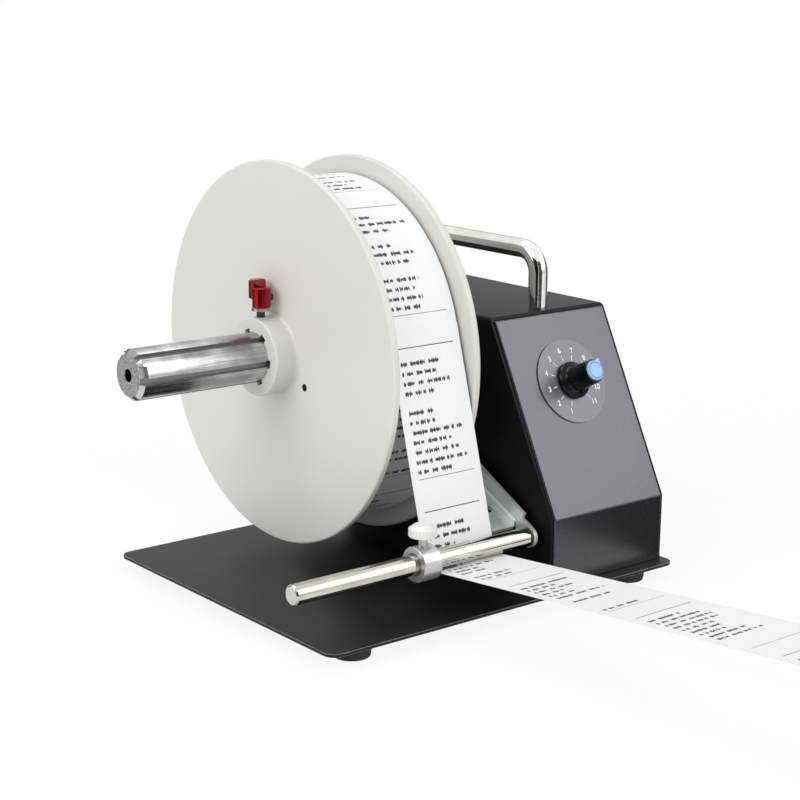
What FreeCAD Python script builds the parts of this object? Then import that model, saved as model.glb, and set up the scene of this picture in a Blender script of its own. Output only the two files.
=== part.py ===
import FreeCAD, Part
import math
import os

from FreeCAD import Vector

# Label rewinder, in millimetres. The model is laid out from the spindle: X runs along the spindle
# axis, from its free end towards the housing, Y runs to the back and Z up, with zero on the spindle
# axis at the outer disc's outer face. to_frame() then moves everything so that zero is the middle
# of the footprint, on the surface that the feet stand on.

# Base plate and feet
BASE_WIDTH = 225.0
BASE_DEPTH = 186.0
BASE_THICKNESS = 1.6
BASE_CORNER_RADIUS = 6.0
FRONT_LEDGE = 8.4
SPINDLE_HEIGHT = 105.8
FOOT_HEIGHT = 7.0
FOOT_TOP_RADIUS = 10.0
FOOT_BOTTOM_RADIUS = 9.0
FOOT_INSET_X = 22.0
FOOT_INSET_Y = 14.0
FOOT_SCREW_DEPTH = 1.2

# Housing sheets
HOUSING_WIDTH = 80.0
HOUSING_DEPTH = 169.0
SPINDLE_TO_REAR = 33.8
SPINDLE_TO_TOP = 23.9
COLLAR_TO_HOUSING = 5.6
LOWER_FACE_HEIGHT = 34.6
SLOPE_SETBACK = 48.9
HOUSING_TO_BASE_END = 1.5
SHEET = 1.5
PANEL_PROUD = 1.2
PANEL_GAP = 0.2
PANEL_RETURN = 12.0
PANEL_TOP_RETURN = 3.6
PANEL_EDGE_RADIUS = 1.0
PANEL_BEND_RADIUS = 3.0
SHELL_BEND_RADIUS = 2.5
TAB_WIDTH = 10.0
TAB_LENGTH = 12.0
REAR_FLANGE = 8.0
REAR_SCREW_FROM_BASE = 24.0
REAR_SCREW_FROM_TOP = 22.0
PANEL_SCREW_LENGTH = 7.0
VENTS_FROM_TOP = 30.0
VENT_COUNT = 7
VENT_LENGTH = 34.0
VENT_WIDTH = 2.4
VENT_PITCH = 5.5

# Carrying handle
HANDLE_BAR_RADIUS = 5.0
HANDLE_FROM_CREST = 9.05
HANDLE_FROM_REAR = 11.05
HANDLE_RISE = 34.7
HANDLE_BEND_RADIUS = 12.0
HANDLE_SCREW_RADIUS = 2.5
HANDLE_SCREW_DEPTH = 12.0

# Speed dial
DIAL_BELOW_CREST = 38.94
DIAL_PLATE_RADIUS = 22.3
DIAL_PLATE_THICKNESS = 0.8
KNOB_SKIRT_RADIUS = 9.8
KNOB_SKIRT_HEIGHT = 3.0
KNOB_BODY_RADIUS = 6.9
KNOB_TAPER = 0.8
KNOB_HEIGHT = 18.7
KNOB_LIFT = 0.4
KNOB_RECESS_RADIUS = 5.9
KNOB_RECESS_DEPTH = 4.0
KNOB_CAP_RADIUS = 5.2
KNOB_CAP_RISE = 1.3
KNOB_POINTER_REACH = 7.0
DIAL_FIRST_ANGLE = 203.0
DIAL_STEP_ANGLE = 30.0
DIAL_READING = 7.35
POT_SHAFT_RADIUS = 3.0
POT_BUSH_RADIUS = 3.6
POT_BUSH_LENGTH = 6.5
POT_BODY_RADIUS = 8.0
POT_BODY_DEPTH = 9.0
POT_NUT_ACROSS_FLATS = 9.4
POT_NUT_HEIGHT = 2.0

# Spindle and its shaft
SPINDLE_RADIUS = 13.0
SPINDLE_OUT = 87.0
SPINDLE_GROOVES = 6
GROOVE_ANGLE = 37.0
GROOVE_WIDTH = 3.2
GROOVE_DEPTH = 2.3
SPINDLE_CHAMFER = 2.1
TIP_NOTCHES = 3
TIP_NOTCH_WIDTH = 6.0
TIP_NOTCH_LENGTH = 3.8
TIP_NOTCH_ANGLE = 75.0
TIP_HOLE_RADIUS = 3.3
TIP_HOLE_DEPTH = 22.0
SHAFT_RADIUS = 6.0
SHAFT_IN_SPINDLE = 46.0
SHAFT_PAST_BRACKET = 3.0

# Discs
DISC_RADIUS = 100.0
DISC_THICKNESS = 4.0
DISC_RIM_RADIUS = 1.2
DISC_SPACE = 47.2
COLLAR_LENGTH = 12.7
COLLAR_RADIUS = 20.5
COLLAR_EDGE_RADIUS = 1.0
COLLAR_ROOT_RADIUS = 1.5
BORE_NOTCH_WIDTH = 4.4
BORE_NOTCH_DEPTH = 1.8
DISC_HOLE_RADIUS = 1.9
DISC_HOLE_CIRCLE = 29.9
DISC_HOLE_COUNT = 3
DISC_HOLE_ANGLE = 115.8
INNER_DISC_TO_SCREW = 6.3
GRUB_RADIUS = 2.0
GRUB_LENGTH = 6.0

# Clamp screw of the outer disc
CLAMP_FROM_DISC = 8.0
CLAMP_STUD_RADIUS = 2.2
CLAMP_STUD_SHOWING = 3.3
CLAMP_WASHER_RADIUS = 4.8
CLAMP_WASHER_THICKNESS = 1.6
CLAMP_FRONT_LOBE_RADIUS = 4.9
CLAMP_REAR_LOBE_RADIUS = 4.5
CLAMP_LOBE_HEIGHT = 10.8
CLAMP_LOBE_STEP = 4.2
CLAMP_FRONT_OFFSET = 0.9
CLAMP_REAR_OFFSET = 3.0
CLAMP_EDGE = 0.6

# Labels
WEB_WIDTH = 44.0
WEB_THICKNESS = 0.3
ROLL_RADIUS = 90.5
CORE_BORE_RADIUS = 13.15
CORE_WALL = 3.0
TAIL_SLOPE = 5.5
TAIL_REACH = 345.0

# Tension arm, guide rod and stop collar
PIVOT_Y = -30.0
PIVOT_Z = -33.0
ROD_Y = -122.8
ROD_Z = -81.1
ARM_SHEET = 2.0
ARM_TO_HOUSING = 3.5
ARM_EYE_RADIUS = 5.5
ARM_PIVOT_EYE_RADIUS = 10.0
ARM_FLANGE_HEIGHT = 8.3
ARM_FLANGE_FROM_ROD = 8.0
ARM_WEB_LIFT = 1.0
ARM_WEB_FROM_ROD = 7.9
ARM_WEB_CORNER = 3.4
ARM_WEB_FROM_PIVOT = 15.0
ARM_WEB_WIDTH = 10.0
ARM_PLATE_WIDTH = 17.7
ARM_PLATE_LENGTH = 29.0
ARM_HOLE_RADIUS = 2.6
ARM_HOLE_FROM_ROD = 22.9
ARM_HOLE_FROM_FLANGE = 9.0
ARM_PILOT_RADIUS = 0.5
ARM_PILOT_FROM_ROD = 14.1
ARM_PILOT_FROM_FLANGE = 7.4
ARM_INNER_BEND = 1.0
ARM_LIFT = 25.0
ROD_RADIUS = 5.0
ROD_OUT = 77.5
ROD_EDGE = 0.7
SPIGOT_RADIUS = 3.0
ROD_SPACER_LENGTH = 1.6
ROD_SPACER_RADIUS = 4.8
COLLAR_STOP_LENGTH = 11.0
COLLAR_STOP_RADIUS = 8.8
COLLAR_STOP_CHAMFER = 0.8
SCREW_STUD_RADIUS = 2.3
SCREW_STUD_SHOWING = 4.6
SCREW_HEAD_RADIUS = 7.0
SCREW_RIM_HEIGHT = 3.9
SCREW_CROWN_HEIGHT = 2.0
SCREW_CROWN_RADIUS = 4.2
SCREW_RIBS = 28
SCREW_RIB_RADIUS = 0.42
PIVOT_RADIUS = 4.0
PIVOT_HEAD_RADIUS = 6.0
PIVOT_HEAD_THICKNESS = 2.0
PIVOT_BUSH_WALL = 2.0
PIVOT_BUSH_FLANGE = 8.5
PIVOT_BUSH_FLANGE_THICKNESS = 2.9
STOP_PIN_RADIUS = 3.0
STOP_PIN_ALONG_ARM = 45.0
FLAG_REACH = 20.0
FLAG_THICKNESS = 1.0
FLAG_HUB_RADIUS = 7.0
FLAG_HUB_LENGTH = 5.0

# Drive
BRACKET_SHEET = 2.0
BRACKET_INNER_WIDTH = 22.0
BRACKET_TO_SHELL = 1.0
BRACKET_FRONT_Y = -46.0
BRACKET_BACK_Y = 20.0
BRACKET_TOP_Z = 17.0
BEARING_RADIUS = 12.0
BEARING_WIDTH = 5.0
BEARING_FLANGE_RADIUS = 13.2
BEARING_FLANGE_THICKNESS = 1.0
RING_THICKNESS = 1.0
RING_HEIGHT = 2.0
RING_GROOVE = 0.5
RING_TO_BRACKET = 0.2
GEAR_MODULE = 1.25
GEAR_TEETH = 32
PINION_TEETH = 12
GEAR_WIDTH = 7.0
GEAR_ADDENDUM = 0.8
GEAR_DEDENDUM = 1.15
GEAR_BACKLASH = 0.3
PRESSURE_ANGLE = 20.0
GEAR_HUB_RADIUS = 10.0
GEAR_HUB_LENGTH = 6.0
MOTOR_RADIUS = 18.5
MOTOR_GEARBOX_LENGTH = 20.0
MOTOR_CAN_RADIUS = 16.0
MOTOR_CAN_LENGTH = 26.0
MOTOR_PILOT_RADIUS = 6.0
MOTOR_SHAFT_RADIUS = 3.0
MOTOR_SCREW_CIRCLE = 15.5

# Control board, jack and switch
BOARD_WIDTH = 52.0
BOARD_MARGIN = 14.85
BOARD_THICKNESS = 1.6
BOARD_PILLAR_HEIGHT = 8.0
BOARD_PILLAR_RADIUS = 3.0
BOARD_EDGE_TO_PILLAR = 4.0
TERMINAL_DEPTH = 8.0
TERMINAL_HEIGHT = 10.0
CHIP_HEIGHT = 3.0
CAPACITOR_RADIUS = 5.0
CAPACITOR_HEIGHT = 13.0
HEAT_SINK_HEIGHT = 14.0
HEAT_SINK_FINS = 5
HEAT_SINK_PITCH = 4.5
HEAT_SINK_SLOT = 2.5
JACK_OFFSET = 20.5
JACK_HEIGHT = 20.0
JACK_RADIUS = 5.5
JACK_RIM_WIDTH = 1.2
JACK_RIM_THICKNESS = 1.6
JACK_NOSE_LENGTH = 12.0
JACK_BODY_DEPTH = 14.0
JACK_SOCKET_RADIUS = 3.2
JACK_SOCKET_DEPTH = 9.5
SWITCH_OFFSET = -1.5
SWITCH_HEIGHT = 22.0
SWITCH_BODY_WIDTH = 13.0
SWITCH_BODY_HEIGHT = 19.0
SWITCH_BODY_DEPTH = 16.0
SWITCH_BEZEL = 1.6
SWITCH_WALL = 1.2
ROCKER_TRAVEL = 14.0
ROCKER_PIN_RADIUS = 1.2
ROCKER_PIN_BEHIND_PANEL = 4.0
SWITCH_LUG_LENGTH = 6.0

# Fasteners
M3_RADIUS = 1.5
M3_HEAD_RADIUS = 2.75
M3_HEAD_HEIGHT = 1.8
M4_RADIUS = 2.0
M4_HEAD_RADIUS = 3.6
M4_HEAD_HEIGHT = 2.4

# Clearances
RUNNING = 0.07
PRESS = 0.02
ALMOST = 0.3
SLIDE_GAP = 0.3

# Places that follow from the sizes
INNER_DISC_X0 = DISC_THICKNESS + DISC_SPACE
INNER_DISC_X1 = INNER_DISC_X0 + DISC_THICKNESS
HOUSING_X0 = INNER_DISC_X1 + COLLAR_LENGTH + COLLAR_TO_HOUSING
HOUSING_X1 = HOUSING_X0 + HOUSING_WIDTH
HOUSING_MID_X = (HOUSING_X0 + HOUSING_X1) / 2.0
BASE_X1 = HOUSING_X1 + HOUSING_TO_BASE_END
BASE_X0 = BASE_X1 - BASE_WIDTH
BASE_TOP = -SPINDLE_HEIGHT
HOUSING_Y1 = SPINDLE_TO_REAR
HOUSING_Y0 = HOUSING_Y1 - HOUSING_DEPTH
BASE_Y0 = HOUSING_Y0 - FRONT_LEDGE
BASE_Y1 = BASE_Y0 + BASE_DEPTH
HOUSING_TOP = SPINDLE_TO_TOP
BEND_Z = BASE_TOP + LOWER_FACE_HEIGHT
REST_Z = BASE_TOP - BASE_THICKNESS - FOOT_HEIGHT
SPINDLE_X1 = INNER_DISC_X1 + COLLAR_LENGTH + 1.0
WEB_X0 = DISC_THICKNESS + (DISC_SPACE - WEB_WIDTH) / 2.0
WEB_X1 = WEB_X0 + WEB_WIDTH
ARM_X1 = HOUSING_X0 - ARM_TO_HOUSING
ARM_X0 = ARM_X1 - ARM_SHEET
BRACKET_X0 = HOUSING_X0 + SHEET + BRACKET_TO_SHELL
BRACKET_X1 = BRACKET_X0 + 2.0 * BRACKET_SHEET + BRACKET_INNER_WIDTH
GEAR_X0 = BRACKET_X0 + BRACKET_SHEET + BEARING_WIDTH
GEAR_CENTRES = GEAR_MODULE * (GEAR_TEETH + PINION_TEETH) / 2.0
MOTOR_Z = -GEAR_CENTRES
BOARD_X0 = HOUSING_MID_X - BOARD_WIDTH / 2.0
BOARD_Y0 = HOUSING_Y0 + SHEET + BOARD_MARGIN
BOARD_DEPTH = BRACKET_FRONT_Y - BOARD_MARGIN - BOARD_Y0
SWITCH_X = HOUSING_MID_X + SWITCH_OFFSET
JACK_X = HOUSING_MID_X + JACK_OFFSET
FRAME_SHIFT = Vector(-(BASE_X1 - SPINDLE_OUT) / 2.0, (TAIL_REACH - DISC_RADIUS) / 2.0, -REST_Z)

X_AXIS = Vector(1, 0, 0)
Y_AXIS = Vector(0, 1, 0)
Z_AXIS = Vector(0, 0, 1)


# Small helpers

def box(x0, x1, y0, y1, z0, z1):
    return Part.makeBox(x1 - x0, y1 - y0, z1 - z0, Vector(x0, y0, z0))


def rod_x(radius, x0, x1, y=0.0, z=0.0):
    return Part.makeCylinder(radius, x1 - x0, Vector(x0, y, z), X_AXIS)


def rod_z(radius, z0, z1, x=0.0, y=0.0):
    return Part.makeCylinder(radius, z1 - z0, Vector(x, y, z0), Z_AXIS)


def polygon_face(points):
    return Part.Face(Part.makePolygon(points + [points[0]]))


def extrude_x(outline, x0, x1):
    face = polygon_face([Vector(x0, y, z) for y, z in outline])
    return face.extrude(Vector(x1 - x0, 0, 0))


def revolve_x(profile):
    """Turn (x, r) points about the spindle axis."""
    face = polygon_face([Vector(x, 0, r) for x, r in profile])
    return face.revolve(Vector(0, 0, 0), X_AXIS, 360)


def around_spindle(angle):
    """Direction at an angle from the top, turning towards the front."""
    turn = math.radians(angle)
    return Vector(0, -math.sin(turn), math.cos(turn))


def turned_about_x(shape, angle):
    """A copy of a shape that stood at the top, brought to that angle."""
    copy = shape.copy()
    copy.rotate(Vector(0, 0, 0), X_AXIS, angle)
    return copy


def joined(shapes):
    return shapes[0].fuse(shapes[1:]).removeSplitter()


def group(shapes):
    return Part.makeCompound(shapes)


def edges_where(shape, test):
    return [edge for edge in shape.Edges if test(edge)]


def pan_screw(head_radius, head_height, radius, length, base, direction):
    """Head on the near side of base, shank along direction."""
    head = Part.makeCylinder(head_radius, head_height, base - direction * head_height, direction)
    top = base - direction * head_height
    rim = edges_where(head, lambda e: e.Length > head_radius
                      and (e.CenterOfMass - top).Length < head_height / 2.0)
    head = head.makeChamfer(head_height * 0.35, rim)
    shank = Part.makeCylinder(radius, length, base, direction)
    return joined([head, shank])


# Base and feet

def foot_places():
    for x in (BASE_X0 + FOOT_INSET_X, BASE_X1 - FOOT_INSET_X):
        for y in (BASE_Y0 + FOOT_INSET_Y, BASE_Y1 - FOOT_INSET_Y):
            yield x, y


def tab_places():
    """Middle of each tab that the housing is screwed down by."""
    front = HOUSING_Y0 + PANEL_RETURN + TAB_LENGTH
    back = HOUSING_Y1 - SHEET * 3.0 - TAB_LENGTH / 2.0 + 2.0
    for side in (-1, 1):
        wall = HOUSING_X0 + SHEET if side < 0 else HOUSING_X1 - SHEET
        for y in (front, back):
            yield wall - side * TAB_WIDTH / 2.0, y


def pillar_places():
    x0 = BOARD_X0 + BOARD_EDGE_TO_PILLAR
    x1 = BOARD_X0 + BOARD_WIDTH - BOARD_EDGE_TO_PILLAR
    y0 = BOARD_Y0 + BOARD_EDGE_TO_PILLAR
    y1 = BOARD_Y0 + BOARD_DEPTH - BOARD_EDGE_TO_PILLAR
    return [(x, y) for x in (x0, x1) for y in (y0, y1)]


def bracket_screw_places():
    x = (BRACKET_X0 + BRACKET_X1) / 2.0
    return [(x, BRACKET_FRONT_Y + 10.0), (x, BRACKET_BACK_Y - 10.0)]


def base_plate():
    plate = box(BASE_X0, BASE_X1, BASE_Y0, BASE_Y1, BASE_TOP - BASE_THICKNESS, BASE_TOP)
    corners = edges_where(plate, lambda e: abs(e.tangentAt(e.FirstParameter).z) > 0.99)
    plate = plate.makeFillet(BASE_CORNER_RADIUS, corners)
    underside = BASE_TOP - BASE_THICKNESS
    for x, y in foot_places():
        plate = plate.cut(rod_z(M4_RADIUS + PRESS, underside - 1, underside + FOOT_SCREW_DEPTH, x, y))
    holes = [(x, y, M3_RADIUS) for x, y in tab_places()]
    holes += [(x, y, M3_RADIUS) for x, y in pillar_places()]
    holes += [(x, y, M3_RADIUS) for x, y in bracket_screw_places()]
    for x, y, radius in holes:
        plate = plate.cut(rod_z(radius + PRESS, underside - 1, BASE_TOP + 1, x, y))
    return plate


def rubber_feet():
    feet = []
    underside = BASE_TOP - BASE_THICKNESS
    for x, y in foot_places():
        foot = Part.makeCone(FOOT_BOTTOM_RADIUS, FOOT_TOP_RADIUS, FOOT_HEIGHT, Vector(x, y, REST_Z))
        foot = foot.makeFillet(0.8, [e for e in foot.Edges if abs(e.CenterOfMass.z - REST_Z) < 0.01])
        foot = foot.cut(rod_z(M4_HEAD_RADIUS + ALMOST, REST_Z - 1, REST_Z + FOOT_HEIGHT / 2.0, x, y))
        foot = foot.cut(rod_z(M4_RADIUS + PRESS, REST_Z, underside + 1, x, y))
        feet.append(foot)
    return group(feet)


def foot_screws():
    seat = REST_Z + FOOT_HEIGHT / 2.0
    length = BASE_TOP - BASE_THICKNESS + FOOT_SCREW_DEPTH - ALMOST - seat
    return group([
        pan_screw(M4_HEAD_RADIUS, M4_HEAD_HEIGHT, M4_RADIUS, length, Vector(x, y, seat), Z_AXIS)
        for x, y in foot_places()])


# Housing

def side_outline(front=0.0, top=0.0, rear=0.0, bottom=0.0):
    """Side view of the housing as (y, z), with each face moved inwards by the amount given."""
    rise = HOUSING_TOP - BEND_Z
    length = math.hypot(SLOPE_SETBACK, rise)
    along_y, along_z = SLOPE_SETBACK / length, rise / length
    in_y, in_z = along_z, -along_y
    to_bend = front * (1.0 - in_y) / along_y
    to_top = (HOUSING_TOP - top - BEND_Z - in_z * front) / along_z
    bend = (HOUSING_Y0 + front, BEND_Z + in_z * front + to_bend * along_z)
    crest = (HOUSING_Y0 + in_y * front + to_top * along_y, HOUSING_TOP - top)
    low = BASE_TOP + bottom
    back = HOUSING_Y1 - rear
    return [(HOUSING_Y0 + front, low), bend, crest, (back, HOUSING_TOP - top), (back, low)]


def housing_block(x0, x1, **insets):
    return extrude_x(side_outline(**insets), x0, x1)


def housing_shell():
    """Left side, top and right side folded from one sheet, with tabs and rear flanges."""
    reach = 30.0
    outer = housing_block(HOUSING_X0, HOUSING_X1, front=PANEL_PROUD)
    top_bends = edges_where(outer, lambda e: abs(e.CenterOfMass.z - HOUSING_TOP) < 0.01
                            and abs(e.tangentAt(e.FirstParameter).y) > 0.99)
    outer = outer.makeFillet(SHELL_BEND_RADIUS, top_bends)
    inner = housing_block(HOUSING_X0 + SHEET, HOUSING_X1 - SHEET, front=-reach, top=SHEET,
                          rear=-reach, bottom=-reach)
    inner_bends = edges_where(inner, lambda e: abs(e.CenterOfMass.z - HOUSING_TOP + SHEET) < 0.01
                              and abs(e.tangentAt(e.FirstParameter).y) > 0.99)
    inner = inner.makeFillet(SHELL_BEND_RADIUS - SHEET, inner_bends)
    shell = outer.cut(inner)
    additions = []
    for x, y in tab_places():
        side = -1 if x < HOUSING_MID_X else 1
        wall = HOUSING_X0 + SHEET / 2.0 if side < 0 else HOUSING_X1 - SHEET / 2.0
        tip = x - side * TAB_WIDTH / 2.0
        x0, x1 = min(wall, tip), max(wall, tip)
        additions.append(box(x0, x1, y - TAB_LENGTH / 2.0, y + TAB_LENGTH / 2.0,
                             BASE_TOP, BASE_TOP + SHEET))
    flange_y1 = HOUSING_Y1 - SHEET
    for x0, x1 in ((HOUSING_X0 + SHEET / 2.0, HOUSING_X0 + SHEET + REAR_FLANGE),
                   (HOUSING_X1 - SHEET - REAR_FLANGE, HOUSING_X1 - SHEET / 2.0)):
        additions.append(box(x0, x1, flange_y1 - SHEET, flange_y1,
                             BASE_TOP + 2.0 * SHEET, HOUSING_TOP - 6.0))
    shell = joined([shell] + additions)
    for x, y in tab_places():
        shell = shell.cut(rod_z(M3_RADIUS + PRESS, BASE_TOP - 1, BASE_TOP + SHEET + 1, x, y))
    for x, z in rear_screw_places():
        shell = shell.cut(Part.makeCylinder(M3_RADIUS + PRESS, 4.0 * SHEET,
                                            Vector(x, HOUSING_Y1 - 3.0 * SHEET, z), Y_AXIS))
    for y in handle_leg_places():
        shell = shell.cut(rod_z(HANDLE_SCREW_RADIUS + PRESS, HOUSING_TOP - 2.0 * SHEET,
                                HOUSING_TOP + 1, HOUSING_MID_X, y))
    shell = shell.cut(rod_x(SHAFT_RADIUS + 2.0, HOUSING_X0 - 1, HOUSING_X0 + SHEET + 1))
    shell = shell.cut(rod_x(PIVOT_RADIUS + PIVOT_BUSH_WALL + PRESS, HOUSING_X0 - 1,
                            HOUSING_X0 + SHEET + 1, PIVOT_Y, PIVOT_Z))
    pin_y, pin_z = stop_pin_place()
    return shell.cut(rod_x(STOP_PIN_RADIUS + PRESS, HOUSING_X0 - 1, HOUSING_X0 + SHEET + 1,
                           pin_y, pin_z))


def front_panel():
    """A folded tray: lower face, bend and sloped face, with returns tucked inside the shell."""
    x0 = HOUSING_X0 + SHEET + PANEL_GAP
    x1 = HOUSING_X1 - SHEET - PANEL_GAP
    under_top = SHEET + PANEL_GAP
    outer = housing_block(x0, x1, top=under_top, bottom=PANEL_GAP)
    outer = outer.cut(housing_block(x0 - 1, x1 + 1, front=PANEL_RETURN, top=-5.0, rear=-5.0,
                                    bottom=-5.0))
    bend = edges_where(outer, lambda e: abs(e.tangentAt(e.FirstParameter).x) > 0.99
                       and abs(e.CenterOfMass.y - HOUSING_Y0) < 0.01
                       and abs(e.CenterOfMass.z - BEND_Z) < 0.01)
    outer = outer.makeFillet(PANEL_BEND_RADIUS, bend)
    rim = edges_where(outer, lambda e: on_front_face_edge(e, x0, x1, under_top))
    outer = outer.makeFillet(PANEL_EDGE_RADIUS, rim)
    hollow = housing_block(x0 + SHEET, x1 - SHEET, front=SHEET, top=under_top + SHEET, rear=-5.0,
                           bottom=-5.0)
    panel = outer.cut(hollow)
    behind_top = HOUSING_Y0 + SLOPE_SETBACK + PANEL_TOP_RETURN
    panel = panel.cut(box(x0 - 1, x1 + 1, behind_top, behind_top + 30.0, HOUSING_TOP - 9.0,
                          HOUSING_TOP))
    return panel.cut(along_dial(POT_BUSH_RADIUS + PRESS, -2.0 * SHEET, SHEET))


def on_front_face_edge(edge, x0, x1, under_top):
    """Edges where the face meets the side returns and the top return."""
    centre = edge.CenterOfMass
    tangent = edge.tangentAt(edge.FirstParameter)
    at_side = min(abs(centre.x - x0), abs(centre.x - x1)) < 0.01
    depth = depth_behind_face(centre.y, centre.z)
    if at_side:
        return abs(tangent.x) < 0.5 and depth < 0.5 and centre.z > BASE_TOP + 2.0
    return (abs(tangent.x) > 0.99 and depth < 0.5
            and abs(centre.z - HOUSING_TOP + under_top) < 0.01)


def depth_behind_face(y, z):
    """How far a point lies behind the lower or the sloped front face."""
    rise = HOUSING_TOP - BEND_Z
    length = math.hypot(SLOPE_SETBACK, rise)
    from_slope = ((y - HOUSING_Y0) * rise - (z - BEND_Z) * SLOPE_SETBACK) / length
    return max(from_slope, 0.0) if z > BEND_Z else y - HOUSING_Y0


def rear_screw_places():
    x_left = HOUSING_X0 + SHEET + REAR_FLANGE / 2.0
    x_right = HOUSING_X1 - SHEET - REAR_FLANGE / 2.0
    return [(x, z) for x in (x_left, x_right)
            for z in (BASE_TOP + REAR_SCREW_FROM_BASE, HOUSING_TOP - REAR_SCREW_FROM_TOP)]


def rear_panel():
    x0 = HOUSING_X0 + SHEET + PANEL_GAP
    x1 = HOUSING_X1 - SHEET - PANEL_GAP
    panel = box(x0, x1, HOUSING_Y1 - SHEET, HOUSING_Y1, BASE_TOP + PANEL_GAP,
                HOUSING_TOP - SHEET - PANEL_GAP)
    first = HOUSING_TOP - VENTS_FROM_TOP
    for i in range(VENT_COUNT):
        z = first - i * VENT_PITCH
        panel = panel.cut(box(HOUSING_MID_X - VENT_LENGTH / 2.0, HOUSING_MID_X + VENT_LENGTH / 2.0,
                              HOUSING_Y1 - 2 * SHEET, HOUSING_Y1 + 1, z, z + VENT_WIDTH))
    for x, z in rear_screw_places():
        panel = panel.cut(Part.makeCylinder(M3_RADIUS + PRESS, 3 * SHEET,
                                            Vector(x, HOUSING_Y1 - 2 * SHEET, z), Y_AXIS))
    panel = panel.cut(Part.makeCylinder(JACK_RADIUS + PRESS, 3 * SHEET,
                                        Vector(JACK_X, HOUSING_Y1 - 2 * SHEET, jack_z()), Y_AXIS))
    half_w = SWITCH_BODY_WIDTH / 2.0 + PRESS
    half_h = SWITCH_BODY_HEIGHT / 2.0 + PRESS
    return panel.cut(box(SWITCH_X - half_w, SWITCH_X + half_w, HOUSING_Y1 - 2 * SHEET,
                         HOUSING_Y1 + 1, switch_z() - half_h, switch_z() + half_h))


def panel_screws():
    toward_front = Vector(0, -1, 0)
    return group([
        pan_screw(M3_HEAD_RADIUS, M3_HEAD_HEIGHT, M3_RADIUS, PANEL_SCREW_LENGTH,
                  Vector(x, HOUSING_Y1, z), toward_front) for x, z in rear_screw_places()])


def base_screws():
    """Screws up through the base plate into the tabs, the pillars and the drive bracket."""
    under = BASE_TOP - BASE_THICKNESS
    screws = []
    for x, y in list(tab_places()) + bracket_screw_places():
        screws.append(pan_screw(M3_HEAD_RADIUS, M3_HEAD_HEIGHT, M3_RADIUS, BASE_THICKNESS + 4.0,
                                Vector(x, y, under), Z_AXIS))
    for x, y in pillar_places():
        screws.append(pan_screw(M3_HEAD_RADIUS, M3_HEAD_HEIGHT, M3_RADIUS, BASE_THICKNESS + 5.0,
                                Vector(x, y, under), Z_AXIS))
    return group(screws)


# Carrying handle

def handle_leg_places():
    return [HOUSING_Y0 + SLOPE_SETBACK + HANDLE_FROM_CREST, HOUSING_Y1 - HANDLE_FROM_REAR]


def carry_handle():
    front, back = handle_leg_places()
    top = HOUSING_TOP + HANDLE_RISE - HANDLE_BAR_RADIUS
    bend = HANDLE_BEND_RADIUS
    slant = bend * (1.0 - math.sqrt(0.5))
    x = HOUSING_MID_X
    path = Part.Wire([
        Part.makeLine(Vector(x, front, HOUSING_TOP), Vector(x, front, top - bend)),
        Part.Arc(Vector(x, front, top - bend), Vector(x, front + slant, top - slant),
                 Vector(x, front + bend, top)).toShape(),
        Part.makeLine(Vector(x, front + bend, top), Vector(x, back - bend, top)),
        Part.Arc(Vector(x, back - bend, top), Vector(x, back - slant, top - slant),
                 Vector(x, back, top - bend)).toShape(),
        Part.makeLine(Vector(x, back, top - bend), Vector(x, back, HOUSING_TOP))])
    section = Part.Wire(Part.makeCircle(HANDLE_BAR_RADIUS, Vector(x, front, HOUSING_TOP), Z_AXIS))
    bar = path.makePipeShell([section], True, False)
    for y in handle_leg_places():
        bar = bar.cut(rod_z(HANDLE_SCREW_RADIUS + PRESS, HOUSING_TOP - 1,
                            HOUSING_TOP + HANDLE_SCREW_DEPTH + 1, x, y))
    return bar


def handle_screws():
    seat = HOUSING_TOP - SHEET
    return group([
        pan_screw(HANDLE_SCREW_RADIUS * 1.8, 3.0, HANDLE_SCREW_RADIUS, SHEET + HANDLE_SCREW_DEPTH,
                  Vector(HOUSING_MID_X, y, seat), Z_AXIS) for y in handle_leg_places()])


# Speed dial

def dial_frame():
    """Centre of the dial on the sloped face, the way up the slope and the way out of it."""
    rise = HOUSING_TOP - BEND_Z
    length = math.hypot(SLOPE_SETBACK, rise)
    up = Vector(0, SLOPE_SETBACK / length, rise / length)
    out = Vector(0, -rise / length, SLOPE_SETBACK / length)
    centre = Vector(HOUSING_MID_X, HOUSING_Y0, BEND_Z) + up * (length - DIAL_BELOW_CREST)
    return centre, up, out


def along_dial(radius, start, end):
    """Cylinder on the dial's axis, between two heights above the sloped face."""
    centre, up, out = dial_frame()
    return Part.makeCylinder(radius, end - start, centre + out * start, out)


def revolve_dial(profile):
    """Turn (r, height) points about the dial's axis."""
    centre, up, out = dial_frame()
    face = polygon_face([centre + X_AXIS * r + out * h for r, h in profile])
    return face.revolve(centre, out, 360)


def dial_direction(reading):
    """Way from the dial's centre to a number on it."""
    centre, up, out = dial_frame()
    turn = math.radians(DIAL_FIRST_ANGLE + DIAL_STEP_ANGLE * (reading - 1.0))
    return X_AXIS * math.sin(turn) + up * math.cos(turn)


def dial_plate():
    plate = along_dial(DIAL_PLATE_RADIUS, 0.0, DIAL_PLATE_THICKNESS)
    return plate.cut(along_dial(POT_BUSH_RADIUS + PRESS, -1.0, 2.0))


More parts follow.
